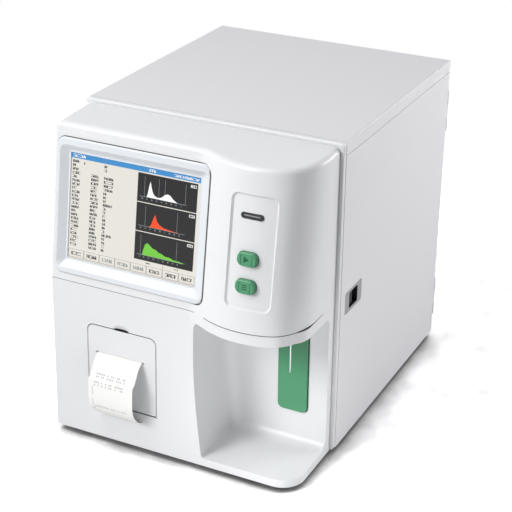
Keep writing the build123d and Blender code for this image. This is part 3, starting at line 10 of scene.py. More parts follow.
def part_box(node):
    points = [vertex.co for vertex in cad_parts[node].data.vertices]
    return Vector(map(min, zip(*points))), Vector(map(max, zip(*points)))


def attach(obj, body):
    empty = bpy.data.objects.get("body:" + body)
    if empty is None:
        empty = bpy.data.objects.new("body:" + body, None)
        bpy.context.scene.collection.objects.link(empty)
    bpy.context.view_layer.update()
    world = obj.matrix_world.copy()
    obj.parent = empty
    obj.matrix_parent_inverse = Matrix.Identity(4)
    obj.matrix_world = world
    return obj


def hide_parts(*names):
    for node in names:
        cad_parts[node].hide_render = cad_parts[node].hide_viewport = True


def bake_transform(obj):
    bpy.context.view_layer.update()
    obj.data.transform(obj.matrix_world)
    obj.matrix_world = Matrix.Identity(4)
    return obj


bl_info = {
    "name": "Hematology Analyzer",
    "version": (1, 0, 0),
    "blender": (4, 5, 0),
    "location": "View3D > Sidebar > Analyzer",
    "description": "Surfaces, screen picture and small parts of a bench-top hematology analyzer",
    "category": "Object",
}

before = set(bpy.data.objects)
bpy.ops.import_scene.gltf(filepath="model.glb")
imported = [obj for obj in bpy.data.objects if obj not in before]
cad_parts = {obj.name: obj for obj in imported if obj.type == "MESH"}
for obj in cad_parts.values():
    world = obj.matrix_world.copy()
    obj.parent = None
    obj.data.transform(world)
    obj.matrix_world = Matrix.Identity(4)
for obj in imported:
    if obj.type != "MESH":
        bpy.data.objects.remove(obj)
MM = 0.001
RIGHT = Vector((1, 0, 0))
BACK = Vector((0, 1, 0))
UP = Vector((0, 0, 1))


def up_along(lean):
    """Direction up along a front face that leans back."""
    return Vector((0, math.sin(lean), math.cos(lean)))


def out_of(lean):
    """Direction straight out of a front face that leans back."""
    return Vector((0, -math.cos(lean), math.sin(lean)))


# Values that describe the looks

class AnalyzerPaint(bpy.types.PropertyGroup):
    shell: FloatVectorProperty(
        name="Shell", description="Moulded front", subtype="COLOR", size=3, default=(0.78, 0.785, 0.80),
    )
    covers: FloatVectorProperty(
        name="Covers", description="Sheet-metal covers", subtype="COLOR", size=3,
        default=(0.74, 0.735, 0.765),
    )
    bezel: FloatVectorProperty(
        name="Bezel", description="Screen bezel", subtype="COLOR", size=3, default=(0.73, 0.76, 0.795),
    )
    key: FloatVectorProperty(
        name="Keys", description="Buttons and start key", subtype="COLOR", size=3,
        default=(0.075, 0.31, 0.155),
    )
    paper: FloatVectorProperty(
        name="Paper", description="Thermal paper", subtype="COLOR", size=3, default=(0.88, 0.88, 0.89),
    )
    lower_lean: FloatProperty(
        name="Lower lean", description="Lean of the face with the printer door",
        subtype="ANGLE", unit="ROTATION", default=math.radians(1.435),
    )
    seam_z: FloatProperty(
        name="Seam height", description="Height of the seam across the front",
        subtype="DISTANCE", unit="LENGTH", default=0.2075,
    )
    seam_rear: FloatProperty(
        name="Seam end", description="How far in front of the middle the seam ends",
        subtype="DISTANCE", unit="LENGTH", default=0.154,
    )
    grain: FloatProperty(
        name="Grain", description="Strength of fine colour variation", min=0, max=1, default=0.03,
    )


class AnalyzerScreen(bpy.types.PropertyGroup):
    width: FloatProperty(
        name="Width", description="Width of the lit picture",
        subtype="DISTANCE", unit="LENGTH", default=0.1685,
    )
    height: FloatProperty(
        name="Height", description="Height of the lit picture",
        subtype="DISTANCE", unit="LENGTH", default=0.1265,
    )
    glow: FloatProperty(
        name="Glow", description="Strength of the picture's own light", min=0, max=4, default=0.62,
    )
    rows: IntProperty(name="Rows", description="Rows in the list", min=1, max=40, default=23)
    lean: FloatProperty(
        name="Lean", description="Lean of the screen face",
        subtype="ANGLE", unit="ROTATION", default=math.radians(8.64),
    )


class AnalyzerStage(bpy.types.PropertyGroup):
    lens: FloatProperty(name="Lens", description="Focal length in millimetres", unit="CAMERA", default=98.51)
    camera_spot: FloatVectorProperty(
        name="Camera", description="Place of the camera",
        subtype="TRANSLATION", size=3, default=(0.70943, -1.43111, 0.94181),
    )
    camera_turn: FloatVectorProperty(
        name="Camera turn", description="Rotation of the camera", subtype="EULER", size=3,
        default=(math.radians(64.485), math.radians(-0.548), math.radians(26.610)),
    )
    key_light: FloatProperty(
        name="Key light", description="Power of the main lamp", subtype="POWER", unit="POWER", default=46.0,
    )
    fill_light: FloatProperty(
        name="Fill light", description="Power of the fill lamp", subtype="POWER", unit="POWER", default=48.0,
    )
    bay_light: FloatProperty(
        name="Bay light", description="Power of the small card in front of the sample bay",
        subtype="POWER", unit="POWER", default=0.06,
    )
    top_light: FloatProperty(
        name="Top light", description="Power of the lamp overhead",
        subtype="POWER", unit="POWER", default=8.0,
    )
    sky: FloatProperty(
        name="Sky", description="Strength of the light from all round", min=0, max=3, default=0.55,
    )
    floor_bounce: FloatProperty(
        name="Floor bounce", description="Paleness of the floor as it lights the object",
        min=0, max=1, default=0.78,
    )
    floor_seen: FloatProperty(
        name="Floor seen", description="Paleness of the floor in the picture", min=0, max=3, default=2.4,
    )


# Nodes that the materials share

def tree_of(name):
    """New material with an empty node tree and an output node."""
    material = bpy.data.materials.new(name)
    material.use_nodes = True
    tree = material.node_tree
    tree.nodes.clear()
    return material, tree, tree.nodes.new("ShaderNodeOutputMaterial")


def maths(tree, operation, first, second=None):
    """Math node on sockets or plain numbers."""
    node = tree.nodes.new("ShaderNodeMath")
    node.operation = operation
    for place, value in enumerate((first, second)):
        if isinstance(value, (int, float)):
            node.inputs[place].default_value = value
        elif value is not None:
            tree.links.new(value, node.inputs[place])
    return node.outputs[0]


def ranged(tree, value, from_low, from_high, to_low=0.0, to_high=1.0, kind="LINEAR"):
    """Value carried over from one range to another."""
    node = tree.nodes.new("ShaderNodeMapRange")
    node.interpolation_type = kind
    node.inputs["From Min"].default_value = from_low
    node.inputs["From Max"].default_value = from_high
    node.inputs["To Min"].default_value = to_low
    node.inputs["To Max"].default_value = to_high
    tree.links.new(value, node.inputs["Value"])
    return node.outputs["Result"]


def along(tree, direction, space="Object"):
    """Length of the position along a direction."""
    coordinates = tree.nodes.new("ShaderNodeTexCoord")
    product = tree.nodes.new("ShaderNodeVectorMath")
    product.operation = "DOT_PRODUCT"
    product.inputs[1].default_value = direction
    tree.links.new(coordinates.outputs[space], product.inputs[0])
    return product.outputs["Value"]


def blended(tree, factor, first, second):
    """Shader that goes from the first to the second with the factor."""
    mix = tree.nodes.new("ShaderNodeMixShader")
    for place, value in enumerate((factor, first, second)):
        tree.links.new(value, mix.inputs[place])
    return mix.outputs["Shader"]


def seen_directly(tree):
    """One for rays from the camera, also through clear pieces."""
    path = tree.nodes.new("ShaderNodeLightPath")
    return maths(tree, "MAXIMUM", path.outputs["Is Camera Ray"], path.outputs["Is Transmission Ray"])


def varied(tree, colour, scale, amount, stretch=(1, 1, 1)):
    """Colour socket of a fine noise that varies colour by amount, and the noise socket."""
    coordinates = tree.nodes.new("ShaderNodeTexCoord")
    mapping = tree.nodes.new("ShaderNodeMapping")
    mapping.inputs["Scale"].default_value = stretch
    tree.links.new(coordinates.outputs["Object"], mapping.inputs["Vector"])
    noise = tree.nodes.new("ShaderNodeTexNoise")
    noise.inputs["Scale"].default_value = scale
    noise.inputs["Detail"].default_value = 3.0
    tree.links.new(mapping.outputs["Vector"], noise.inputs["Vector"])
    mix = tree.nodes.new("ShaderNodeMix")
    mix.data_type = "RGBA"
    mix.inputs["A"].default_value = tuple(max(0.0, c * (1 - amount)) for c in colour) + (1,)
    mix.inputs["B"].default_value = tuple(min(1.0, c * (1 + amount)) for c in colour) + (1,)
    tree.links.new(noise.outputs["Fac"], mix.inputs["Factor"])
    return mix.outputs["Result"], noise.outputs["Fac"]


# Materials

ROUGH_SPREAD = 0.05
BUMP_DEPTH = 0.2 * MM
COAT_ROUGH = 0.12
PICTURE_DIM = 0.72
PICTURE_ROUGH = 0.28


def paint(
    name, colour, rough=0.4, metal=0.0, scale=60.0, amount=0.03, bump=0.0,
    coat=0.0, clear=0.0, sheen=0.0, stretch=(1, 1, 1), ior=1.45,
):
    """Surface with fine variation of colour and roughness, and an optional bump, coat or clearness."""
    material, tree, output = tree_of(name)
    shader = tree.nodes.new("ShaderNodeBsdfPrincipled")
    colour_out, noise_out = varied(tree, colour, scale, amount, stretch)
    smoothest = max(0.02, rough - ROUGH_SPREAD)
    roughest = min(1.0, rough + ROUGH_SPREAD)
    rough_out = ranged(tree, noise_out, 0.0, 1.0, smoothest, roughest)
    tree.links.new(colour_out, shader.inputs["Base Color"])
    tree.links.new(rough_out, shader.inputs["Roughness"])
    shader.inputs["Metallic"].default_value = metal
    shader.inputs["Coat Weight"].default_value = coat
    shader.inputs["Coat Roughness"].default_value = COAT_ROUGH
    shader.inputs["Transmission Weight"].default_value = clear
    shader.inputs["Sheen Weight"].default_value = sheen
    shader.inputs["IOR"].default_value = ior
    if bump:
        relief = tree.nodes.new("ShaderNodeBump")
        relief.inputs["Strength"].default_value = bump
        relief.inputs["Distance"].default_value = BUMP_DEPTH
        tree.links.new(noise_out, relief.inputs["Height"])
        tree.links.new(relief.outputs["Normal"], shader.inputs["Normal"])
    tree.links.new(shader.outputs["BSDF"], output.inputs["Surface"])
    return material


def lit(name, colour, strength):
    """Part of the lit picture: its own light under a faint gloss."""
    material, tree, output = tree_of(name)
    shader = tree.nodes.new("ShaderNodeBsdfPrincipled")
    colour_out, _ = varied(tree, colour, 900.0, 0.02)
    dim = tree.nodes.new("ShaderNodeMix")
    dim.data_type = "RGBA"
    dim.inputs["Factor"].default_value = PICTURE_DIM
    dim.inputs["B"].default_value = (0, 0, 0, 1)
    tree.links.new(colour_out, dim.inputs["A"])
    tree.links.new(dim.outputs["Result"], shader.inputs["Base Color"])
    tree.links.new(colour_out, shader.inputs["Emission Color"])
    shader.inputs["Emission Strength"].default_value = strength
    shader.inputs["Roughness"].default_value = PICTURE_ROUGH
    tree.links.new(shader.outputs["BSDF"], output.inputs["Surface"])
    return material


def tint(material, mask, colour):
    """Mixes a colour over the material's base colour where the mask is one."""
    tree = material.node_tree
    shader = next(node for node in tree.nodes if node.type == "BSDF_PRINCIPLED")
    mix = tree.nodes.new("ShaderNodeMix")
    mix.data_type = "RGBA"
    mix.inputs["B"].default_value = tuple(colour) + (1,)
    tree.links.new(shader.inputs["Base Color"].links[0].from_socket, mix.inputs["A"])
    tree.links.new(mask, mix.inputs["Factor"])
    tree.links.new(mix.outputs["Result"], shader.inputs["Base Color"])


# Masks by place, for lines of painted shade and for recesses of another colour

def both_of(material, *masks):
    """Product of several masks."""
    whole = masks[0]
    for mask in masks[1:]:
        whole = maths(material.node_tree, "MULTIPLY", whole, mask)
    return whole


def between(material, value, low, high):
    """One where a value lies between low and high."""
    tree = material.node_tree
    above = maths(tree, "GREATER_THAN", value, low)
    below = maths(tree, "LESS_THAN", value, high)
    return both_of(material, above, below)


def band(material, direction, low, high):
    """One where the object position along a direction lies between low and high."""
    return between(material, along(material.node_tree, direction), low, high)


def outline_mask(material, right, up, centre, half, corner, low, high):
    """One between low and high metres outside a rounded rectangle that lies square to right and up."""
    tree = material.node_tree
    spans = []
    for direction, middle, reach in ((right, centre[0], half[0]), (up, centre[1], half[1])):
        away = maths(tree, "ABSOLUTE", maths(tree, "SUBTRACT", along(tree, direction), middle))
        spans.append(maths(tree, "SUBTRACT", away, reach - corner))
    outer = [maths(tree, "POWER", maths(tree, "MAXIMUM", span, 0.0), 2.0) for span in spans]
    round_part = maths(tree, "SQRT", maths(tree, "ADD", *outer))
    flat_part = maths(tree, "MINIMUM", maths(tree, "MAXIMUM", *spans), 0.0)
    distance = maths(tree, "SUBTRACT", maths(tree, "ADD", round_part, flat_part), corner)
    return between(material, distance, low, high)


# Pieces

def span_of(node, direction):
    """Middle and half length of a CAD node along a direction."""
    reaches = [v.co.dot(direction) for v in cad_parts[node].data.vertices]
    return (max(reaches) + min(reaches)) / 2, (max(reaches) - min(reaches)) / 2


def dress(material, slot, *nodes):
    """Gives CAD nodes a material. The slot is not used."""
    for name in nodes:
        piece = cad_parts[name]
        piece.data.materials.clear()
        piece.data.materials.append(material)


def new_object(name, data):
    """Object in the scene that shows the data."""
    unit = bpy.data.objects.new(name, data)
    bpy.context.scene.collection.objects.link(unit)
    return unit


def mesh_piece(name, vertices, faces, materials, face_materials=()):
    """Mesh object from plain lists."""
    mesh = bpy.data.meshes.new(name)
    mesh.from_pydata([tuple(v) for v in vertices], [], faces)
    for material in materials:
        mesh.materials.append(material)
    for polygon, index in zip(mesh.polygons, face_materials):
        polygon.material_index = index
    mesh.update()
    return new_object(name, mesh)


# Covers

LATCH_ROUND = 1.0 * MM
LATCH_EDGE = 0.9 * MM
LATCH_FACE = 0.4 * MM


def latch_paint():
    """Grey frame of the side door's latch, with a dark edge and a near-black recess."""
    latch = paint("latch_grey", (0.34, 0.34, 0.36), rough=0.42, scale=900, amount=0.05)
    mid_x, half_x = span_of("latch_cup", RIGHT)
    mid_y, half_y = span_of("latch_cup", BACK)
    mid_z, half_z = span_of("latch_cup", UP)
    edge = outline_mask(
        latch, BACK, UP, (mid_y, mid_z), (half_y, half_z), LATCH_ROUND, -LATCH_EDGE, MM,
    )
    tint(latch, edge, (0.07, 0.07, 0.075))
    tree = latch.node_tree
    recess = maths(tree, "LESS_THAN", along(tree, RIGHT), mid_x + half_x - LATCH_FACE)
    tint(latch, recess, (0.010, 0.010, 0.011))
    return latch


class ANALYZER_OT_covers(bpy.types.Operator):
    """Paint the sheet-metal covers, the rim, the feet and what is fixed to them"""

    bl_idname = "analyzer.covers"
    bl_label = "Covers"

    def execute(self, context):
        look = context.scene.analyzer_paint
        covers = paint("covers_paint", look.covers, rough=0.42, scale=2200, amount=look.grain / 3, bump=0.12)
        dress(covers, "sheet_white", "top_cover", "right_door", "left_panel", "rear_panel", "base_tray")
        rim = paint("rim_paint", look.shell, rough=0.3, scale=300, amount=look.grain / 2, coat=0.2)
        dress(rim, "shell", "front_frame")
        dress(latch_paint(), "shell", "latch_cup")
        rubber = paint("rubber", (0.02, 0.02, 0.022), rough=0.8, scale=700, amount=0.25, bump=0.3)
        dress(rubber, "rubber", "feet", "platen_roller")
        steel = paint(
            "steel", (0.52, 0.53, 0.55), rough=0.34, metal=1.0, scale=400, amount=0.10, stretch=(1, 1, 14),
        )
        dress(
            steel, "steel", "hinge_leaves", "probe_screw", "fluidics_plate", "bath_shield",
            "power_supply", "data_sockets",
        )
        bright = paint("bright_steel", (0.72, 0.73, 0.75), rough=0.16, metal=1.0, scale=500, amount=0.06)
        dress(bright, "bright_steel", "hinge_pins", "cover_screws", "probe_rods", "sample_probe", "fan_guard")
        thumb = paint("thumb_grey", (0.035, 0.036, 0.040), rough=0.5, scale=900, amount=0.15, bump=0.1)
        dress(thumb, "grey_plastic", "latch_slide")
        return {"FINISHED"}


# Front

DOOR_STUB = 2.0 * MM  # the door's pivot stubs reach this far past its opening
DOOR_SKIRT = 20 * MM  # the outline runs this far below the door, where its corners are square
DOOR_ROUND = 8.3 * MM
# colour of the painted shade in the gap round the printer door
DOOR_SHADE = (0.22, 0.22, 0.23)
NOTCH_HALF = 9 * MM
NOTCH_BELOW = 0.4 * MM
NOTCH_ABOVE = 1.6 * MM
# colour of the painted shadow in the finger notch
NOTCH_SHADE = (0.012, 0.012, 0.013)
# half width and ends of the painted shade in the seam
SEAM_HALF = 0.45 * MM
SEAM_LEFT = 31 * MM
SEAM_RIGHT = 46 * MM
BEZEL_ROUND = 12 * MM
# colour of the painted shade in the gap round the bezel
BEZEL_SHADE = (0.06, 0.06, 0.065)
# heights over which the painted shadow of the nose darkens the start key, and how dark it gets
START_UNSHADED_Z = 0.110
START_SHADED_Z = 0.205
START_SHADOW_SHARE = 0.40
FAR = 1.0  # further away than any place on the object


def door_lines(panel, door, lean):
    """Painted shade: a dark line in the gap round the printer door, and painted shadow in the finger notch
    above it.
    """
    up = up_along(lean)
    mid_x, half_x = span_of("printer_door", RIGHT)
    mid_up, half_up = span_of("printer_door", up)
    lower = mid_up - half_up
    upper = mid_up + half_up
    centre = (mid_x, mid_up - DOOR_SKIRT)
    half = (half_x - DOOR_STUB, half_up + DOOR_SKIRT)
    for material, near, far in ((panel, 0.3 * MM, 0.95 * MM), (door, -0.35 * MM, 2 * MM)):
        sides = outline_mask(material, RIGHT, up, centre, half, DOOR_ROUND, near, far)
        above = band(material, up, lower, upper + 2 * MM)
        # painted shade in the gap beside and above the door
        tint(material, both_of(material, sides, above), DOOR_SHADE)
        across = band(material, RIGHT, mid_x - half_x, mid_x + half_x)
        below = band(material, up, lower - far, lower - near)
        # painted shade in the gap under the door
        tint(material, both_of(material, across, below), DOOR_SHADE)
        finger = band(material, RIGHT, mid_x - NOTCH_HALF, mid_x + NOTCH_HALF)
        notch = band(material, up, upper - NOTCH_BELOW, upper + NOTCH_ABOVE)
        # painted shadow in the finger notch above the door
        tint(material, both_of(material, finger, notch), NOTCH_SHADE)


def seam_lines(panel, look):
    """Painted shade in the seam groove: dark where it lies under the nose, faint across the lower front."""
    level = band(panel, UP, look.seam_z - SEAM_HALF, look.seam_z + SEAM_HALF)
    seam = both_of(panel, level, band(panel, -BACK, look.seam_rear, FAR))
    # painted shade in the seam where it lies under the nose
    tint(panel, both_of(panel, seam, band(panel, RIGHT, SEAM_RIGHT, FAR)), (0.10, 0.10, 0.11))
    # fainter painted shade in the seam across the lower front
    tint(panel, both_of(panel, seam, band(panel, RIGHT, -FAR, SEAM_LEFT)), (0.42, 0.42, 0.43))


def bezel_lines(panel, bezel, lean):
    """Painted shade: a dark line in the gap where the screen bezel meets the panel."""
    up = up_along(lean)
    mid_x, half_x = span_of("screen_bezel", RIGHT)
    mid_up, half_up = span_of("screen_bezel", up)
    centre, half = (mid_x, mid_up), (half_x, half_up)
    for material, near, far in ((panel, -2 * MM, 0.5 * MM), (bezel, -0.3 * MM, 2 * MM)):
        line = outline_mask(material, RIGHT, up, centre, half, BEZEL_ROUND, near, far)
        # painted shade in the gap round the bezel
        tint(material, line, BEZEL_SHADE)


def start_key_shadowed(key):
    """Colour of the start key with the nose's shadow painted on, darker towards its top."""
    start = paint("start_key_shadowed", key, rough=0.34, scale=1100, amount=0.08, bump=0.1, coat=0.15)
    # painted shadow of the nose, darkening the key towards its top
    rise = ranged(start.node_tree, along(start.node_tree, UP), START_UNSHADED_Z, START_SHADED_Z)
    tint(start, rise, tuple(START_SHADOW_SHARE * c for c in key))
    return start


class ANALYZER_OT_front(bpy.types.Operator):
    """Paint the moulded front, the bezel, the door, the buttons and the start key"""

    bl_idname = "analyzer.front"
    bl_label = "Front"

    def execute(self, context):
        look = context.scene.analyzer_paint
        grain = look.grain
        door, panel = (
            paint(name, look.shell, rough=0.36, scale=1500, amount=grain / 3, bump=0.06, coat=0.12)
            for name in ("door_paint", "panel_paint")
        )
        bezel = paint("bezel_paint", look.bezel, rough=0.30, scale=1200, amount=grain, coat=0.2)
        door_lines(panel, door, look.lower_lean)
        seam_lines(panel, look)
        bezel_lines(panel, bezel, context.scene.analyzer_screen.lean)
        dress(door, "shell", "printer_door")
        dress(panel, "shell", "front_panel")
        dress(bezel, "bezel", "screen_bezel")
        green = paint("key_paint", look.key, rough=0.34, scale=1100, amount=0.08, bump=0.1, coat=0.15)
        dress(green, "green", "upper_button", "lower_button")
        dress(start_key_shadowed(look.key), "green", "start_key")
        status = paint("status_black", (0.012, 0.013, 0.015), rough=0.14, scale=800, amount=0.2, coat=0.6)
        dress(status, "status", "status_window")
        glass = paint("window_glass", (0.02, 0.022, 0.026), rough=0.08, scale=500, amount=0.1, coat=0.8)
        dress(glass, "window", "touch_glass")
        return {"FINISHED"}


# Inside and rear

class ANALYZER_OT_inside(bpy.types.Operator):
    """Paint the pieces inside the body, behind the panel and at the rear"""

    bl_idname = "analyzer.inside"
    bl_label = "Inside and rear"

    def execute(self, context):
        aluminium = paint(
            "aluminium", (0.66, 0.67, 0.69), rough=0.38, metal=1.0, scale=500, amount=0.07,
            stretch=(12, 1, 1),
        )
        dress(aluminium, "aluminium", "probe_bracket", "probe_carriage", "syringe_bracket", "print_head")
        tray = paint("tray_metal", (0.35, 0.36, 0.38), rough=0.5, metal=1.0, scale=600, amount=0.08)
        dress(tray, "display", "display_module")
        board = paint("board_green", (0.02, 0.13, 0.06), rough=0.35, scale=260, amount=0.3)
        dress(board, "board", "main_board", "control_board")
        black = paint("dark_plastic", (0.022, 0.023, 0.025), rough=0.5, scale=1000, amount=0.2, bump=0.15)
        dress(
            black, "dark_plastic", "key_switch", "printer_bucket", "probe_motor", "syringe_motors",
            "diaphragm_pumps", "fan_housing", "fan_rotor", "power_inlet", "switch_frame", "power_switch",
        )
        grey = paint("grey_plastic", (0.30, 0.32, 0.35), rough=0.45, scale=900, amount=0.08, bump=0.1)
        dress(
            grey, "grey_plastic", "solenoid_valves", "diluent_plunger", "sample_plunger", "reagent_fittings",
        )
        clear = paint(
            "clear_plastic", (0.85, 0.90, 0.92), rough=0.08, scale=300, amount=0.03, clear=0.85, ior=1.49,
        )
        dress(clear, "clear", "counting_baths", "vacuum_chamber", "wash_block")
        glass = paint(
            "barrel_glass", (0.93, 0.96, 0.97), rough=0.04, scale=300, amount=0.02, clear=0.95, ior=1.5,
        )
        dress(glass, "barrel_glass", "diluent_barrel", "sample_barrel")
        brass = paint("brass", (0.62, 0.45, 0.18), rough=0.28, metal=1.0, scale=700, amount=0.1)
        dress(brass, "brass", "ground_post")
        white = context.scene.analyzer_paint.paper
        paper = paint("paper", white, rough=0.75, scale=3000, amount=0.02, bump=0.1, sheen=0.1)
        dress(paper, "paper", "paper_roll")
        return {"FINISHED"}


# Screen picture, laid out in fractions of its width and height

INKS = {  # colour and strength of its light
    "cream": ((0.86, 0.83, 0.76), 1.0),
    "ink": ((0.02, 0.02, 0.025), 1.0),
    "blue": ((0.05, 0.30, 0.68), 1.0),
    "white": ((0.95, 0.95, 0.95), 1.0),
    "black": ((0.012, 0.012, 0.014), 1.0),
    "red": ((0.85, 0.07, 0.008), 1.25),
    "green": ((0.17, 0.58, 0.05), 1.2),
    "plot_white": ((1, 1, 1), 1.3),
    "line": ((0.30, 0.33, 0.33), 1.0),
}
STROKES = (  # kinds of mark that have the stroke, and its left, top, right and lower edge in the mark
    ((0, 1, 2, 4), (0.0, 0.0, 0.42, 1.0)),
    ((0, 1, 3), (0.0, 0.0, 0.84, 0.2)),
    ((1, 2), (0.0, 0.42, 0.84, 0.6)),
    ((0, 4), (0.42, 0.3, 0.84, 1.0)),
    ((2, 3, 4), (0.0, 0.82, 0.84, 1.0)),
)
KINDS = 5
PICTURE_LIFT = 0.59 * MM
LAYER_LIFT = 0.03 * MM

TITLE_TOP, TITLE_BOTTOM = 0.004, 0.052
TITLE_BREAKS, BREAK_WIDTH = (0.265, 0.60, 0.79), 0.003
TITLE_WORDS = (  # left, top, letters, height and pitch
    (0.012, 0.014, 6, 0.026, 0.017),
    (0.61, 0.016, 3, 0.026, 0.017),
    (0.80, 0.018, 15, 0.022, 0.0125),
)

LIST_TOP, LIST_HEIGHT = 0.068, 0.82
NAME_LEFT, VALUE_LEFT, UNIT_LEFT = 0.012, 0.160, 0.262
LIST_PITCH = 0.0125
TALL_SHARE = 0.66  # height of a mark in its row
HEAD_ROWS = 2
LONG_UNITS = (3, 4, 5, 6, 10, 18)
COUNT_LEFT, COUNT_TOP, COUNT_TALL = 0.10, 0.075, 0.022
SMALL_PITCH = 0.0105

PLOTS_TOP, PLOT_HEIGHT, PLOT_GAP = 0.064, 0.262, 0.008
PLOT_LEFT, PLOT_RIGHT = 0.525, 0.978
AXIS_LEFT, AXIS_RIGHT, AXIS_RISE, AXIS_THICK = 0.545, 0.90, 0.052, 0.004
SCALE_LEFT, SCALE_PITCH, SCALE_MARKS, SCALE_DROP = 0.56, 0.037, 9, 0.014
SCALE_TALL = 0.012
GUIDE_SPAN, GUIDE_WIDTH, GUIDE_DROP = 0.42, 0.0022, 0.024
LABEL_LEFT, LABEL_RIGHT, LABEL_TOP, LABEL_BOTTOM, LABEL_INSET = 0.925, 0.968, 0.018, 0.044, 0.005
LABEL_TALL, LABEL_PITCH = 0.016, 0.012
CURVE_WIDTH, CURVE_HEIGHT = 0.52, 0.235
PLOTS = (  # ink, guide lines, and the curve's points in shares of its width and height
    (
        "plot_white", (0.08, 0.34, 0.45, 0.82),
        (
            (0.10, 0.0), (0.115, 0.10), (0.135, 0.45), (0.15, 0.62), (0.165, 0.42), (0.19, 0.20),
            (0.22, 0.10), (0.27, 0.04), (0.32, 0.09), (0.37, 0.22), (0.41, 0.26), (0.45, 0.22),
            (0.49, 0.10), (0.54, 0.02), (0.56, 0.0),
        ),
    ),
    (
        "red", (0.12, 0.70),
        (
            (0.16, 0.0), (0.19, 0.10), (0.22, 0.38), (0.245, 0.52), (0.27, 0.30), (0.31, 0.16), (0.37, 0.08),
            (0.45, 0.04), (0.60, 0.0),
        ),
    ),
    (
        "green", (0.06, 0.72),
        (
            (0.08, 0.0), (0.095, 0.22), (0.12, 0.44), (0.155, 0.50), (0.19, 0.42), (0.23, 0.33), (0.28, 0.30),
            (0.32, 0.22), (0.37, 0.19), (0.42, 0.12), (0.48, 0.12), (0.55, 0.05), (0.62, 0.05), (0.70, 0.01),
            (0.74, 0.0),
        ),
    ),
)
NOTE_WORDS, NOTE_TOP, NOTE_TALL = (0.62, 0.84), 0.006, 0.012
NOTE_BREAK, NOTE_BREAK_TOP, NOTE_BREAK_BOTTOM = 0.75, 0.004, 0.026

SOFT_KEYS = 8
SOFT_LEFT, SOFT_PITCH, SOFT_WIDTH = 0.004, 0.1245, 0.122
SOFT_TOP, SOFT_BOTTOM = 0.912, 0.990
SOFT_EDGE, SOFT_LOWER_EDGE, SOFT_LIGHT_EDGE = 0.002, 0.003, 0.003
SOFT_WORD_LEFT, SOFT_WORD_TOP, SOFT_WORD_TALL, SOFT_WORD_PITCH = 0.022, 0.023, 0.032, 0.0135
SOFT_FADED = (2, 3, 4)


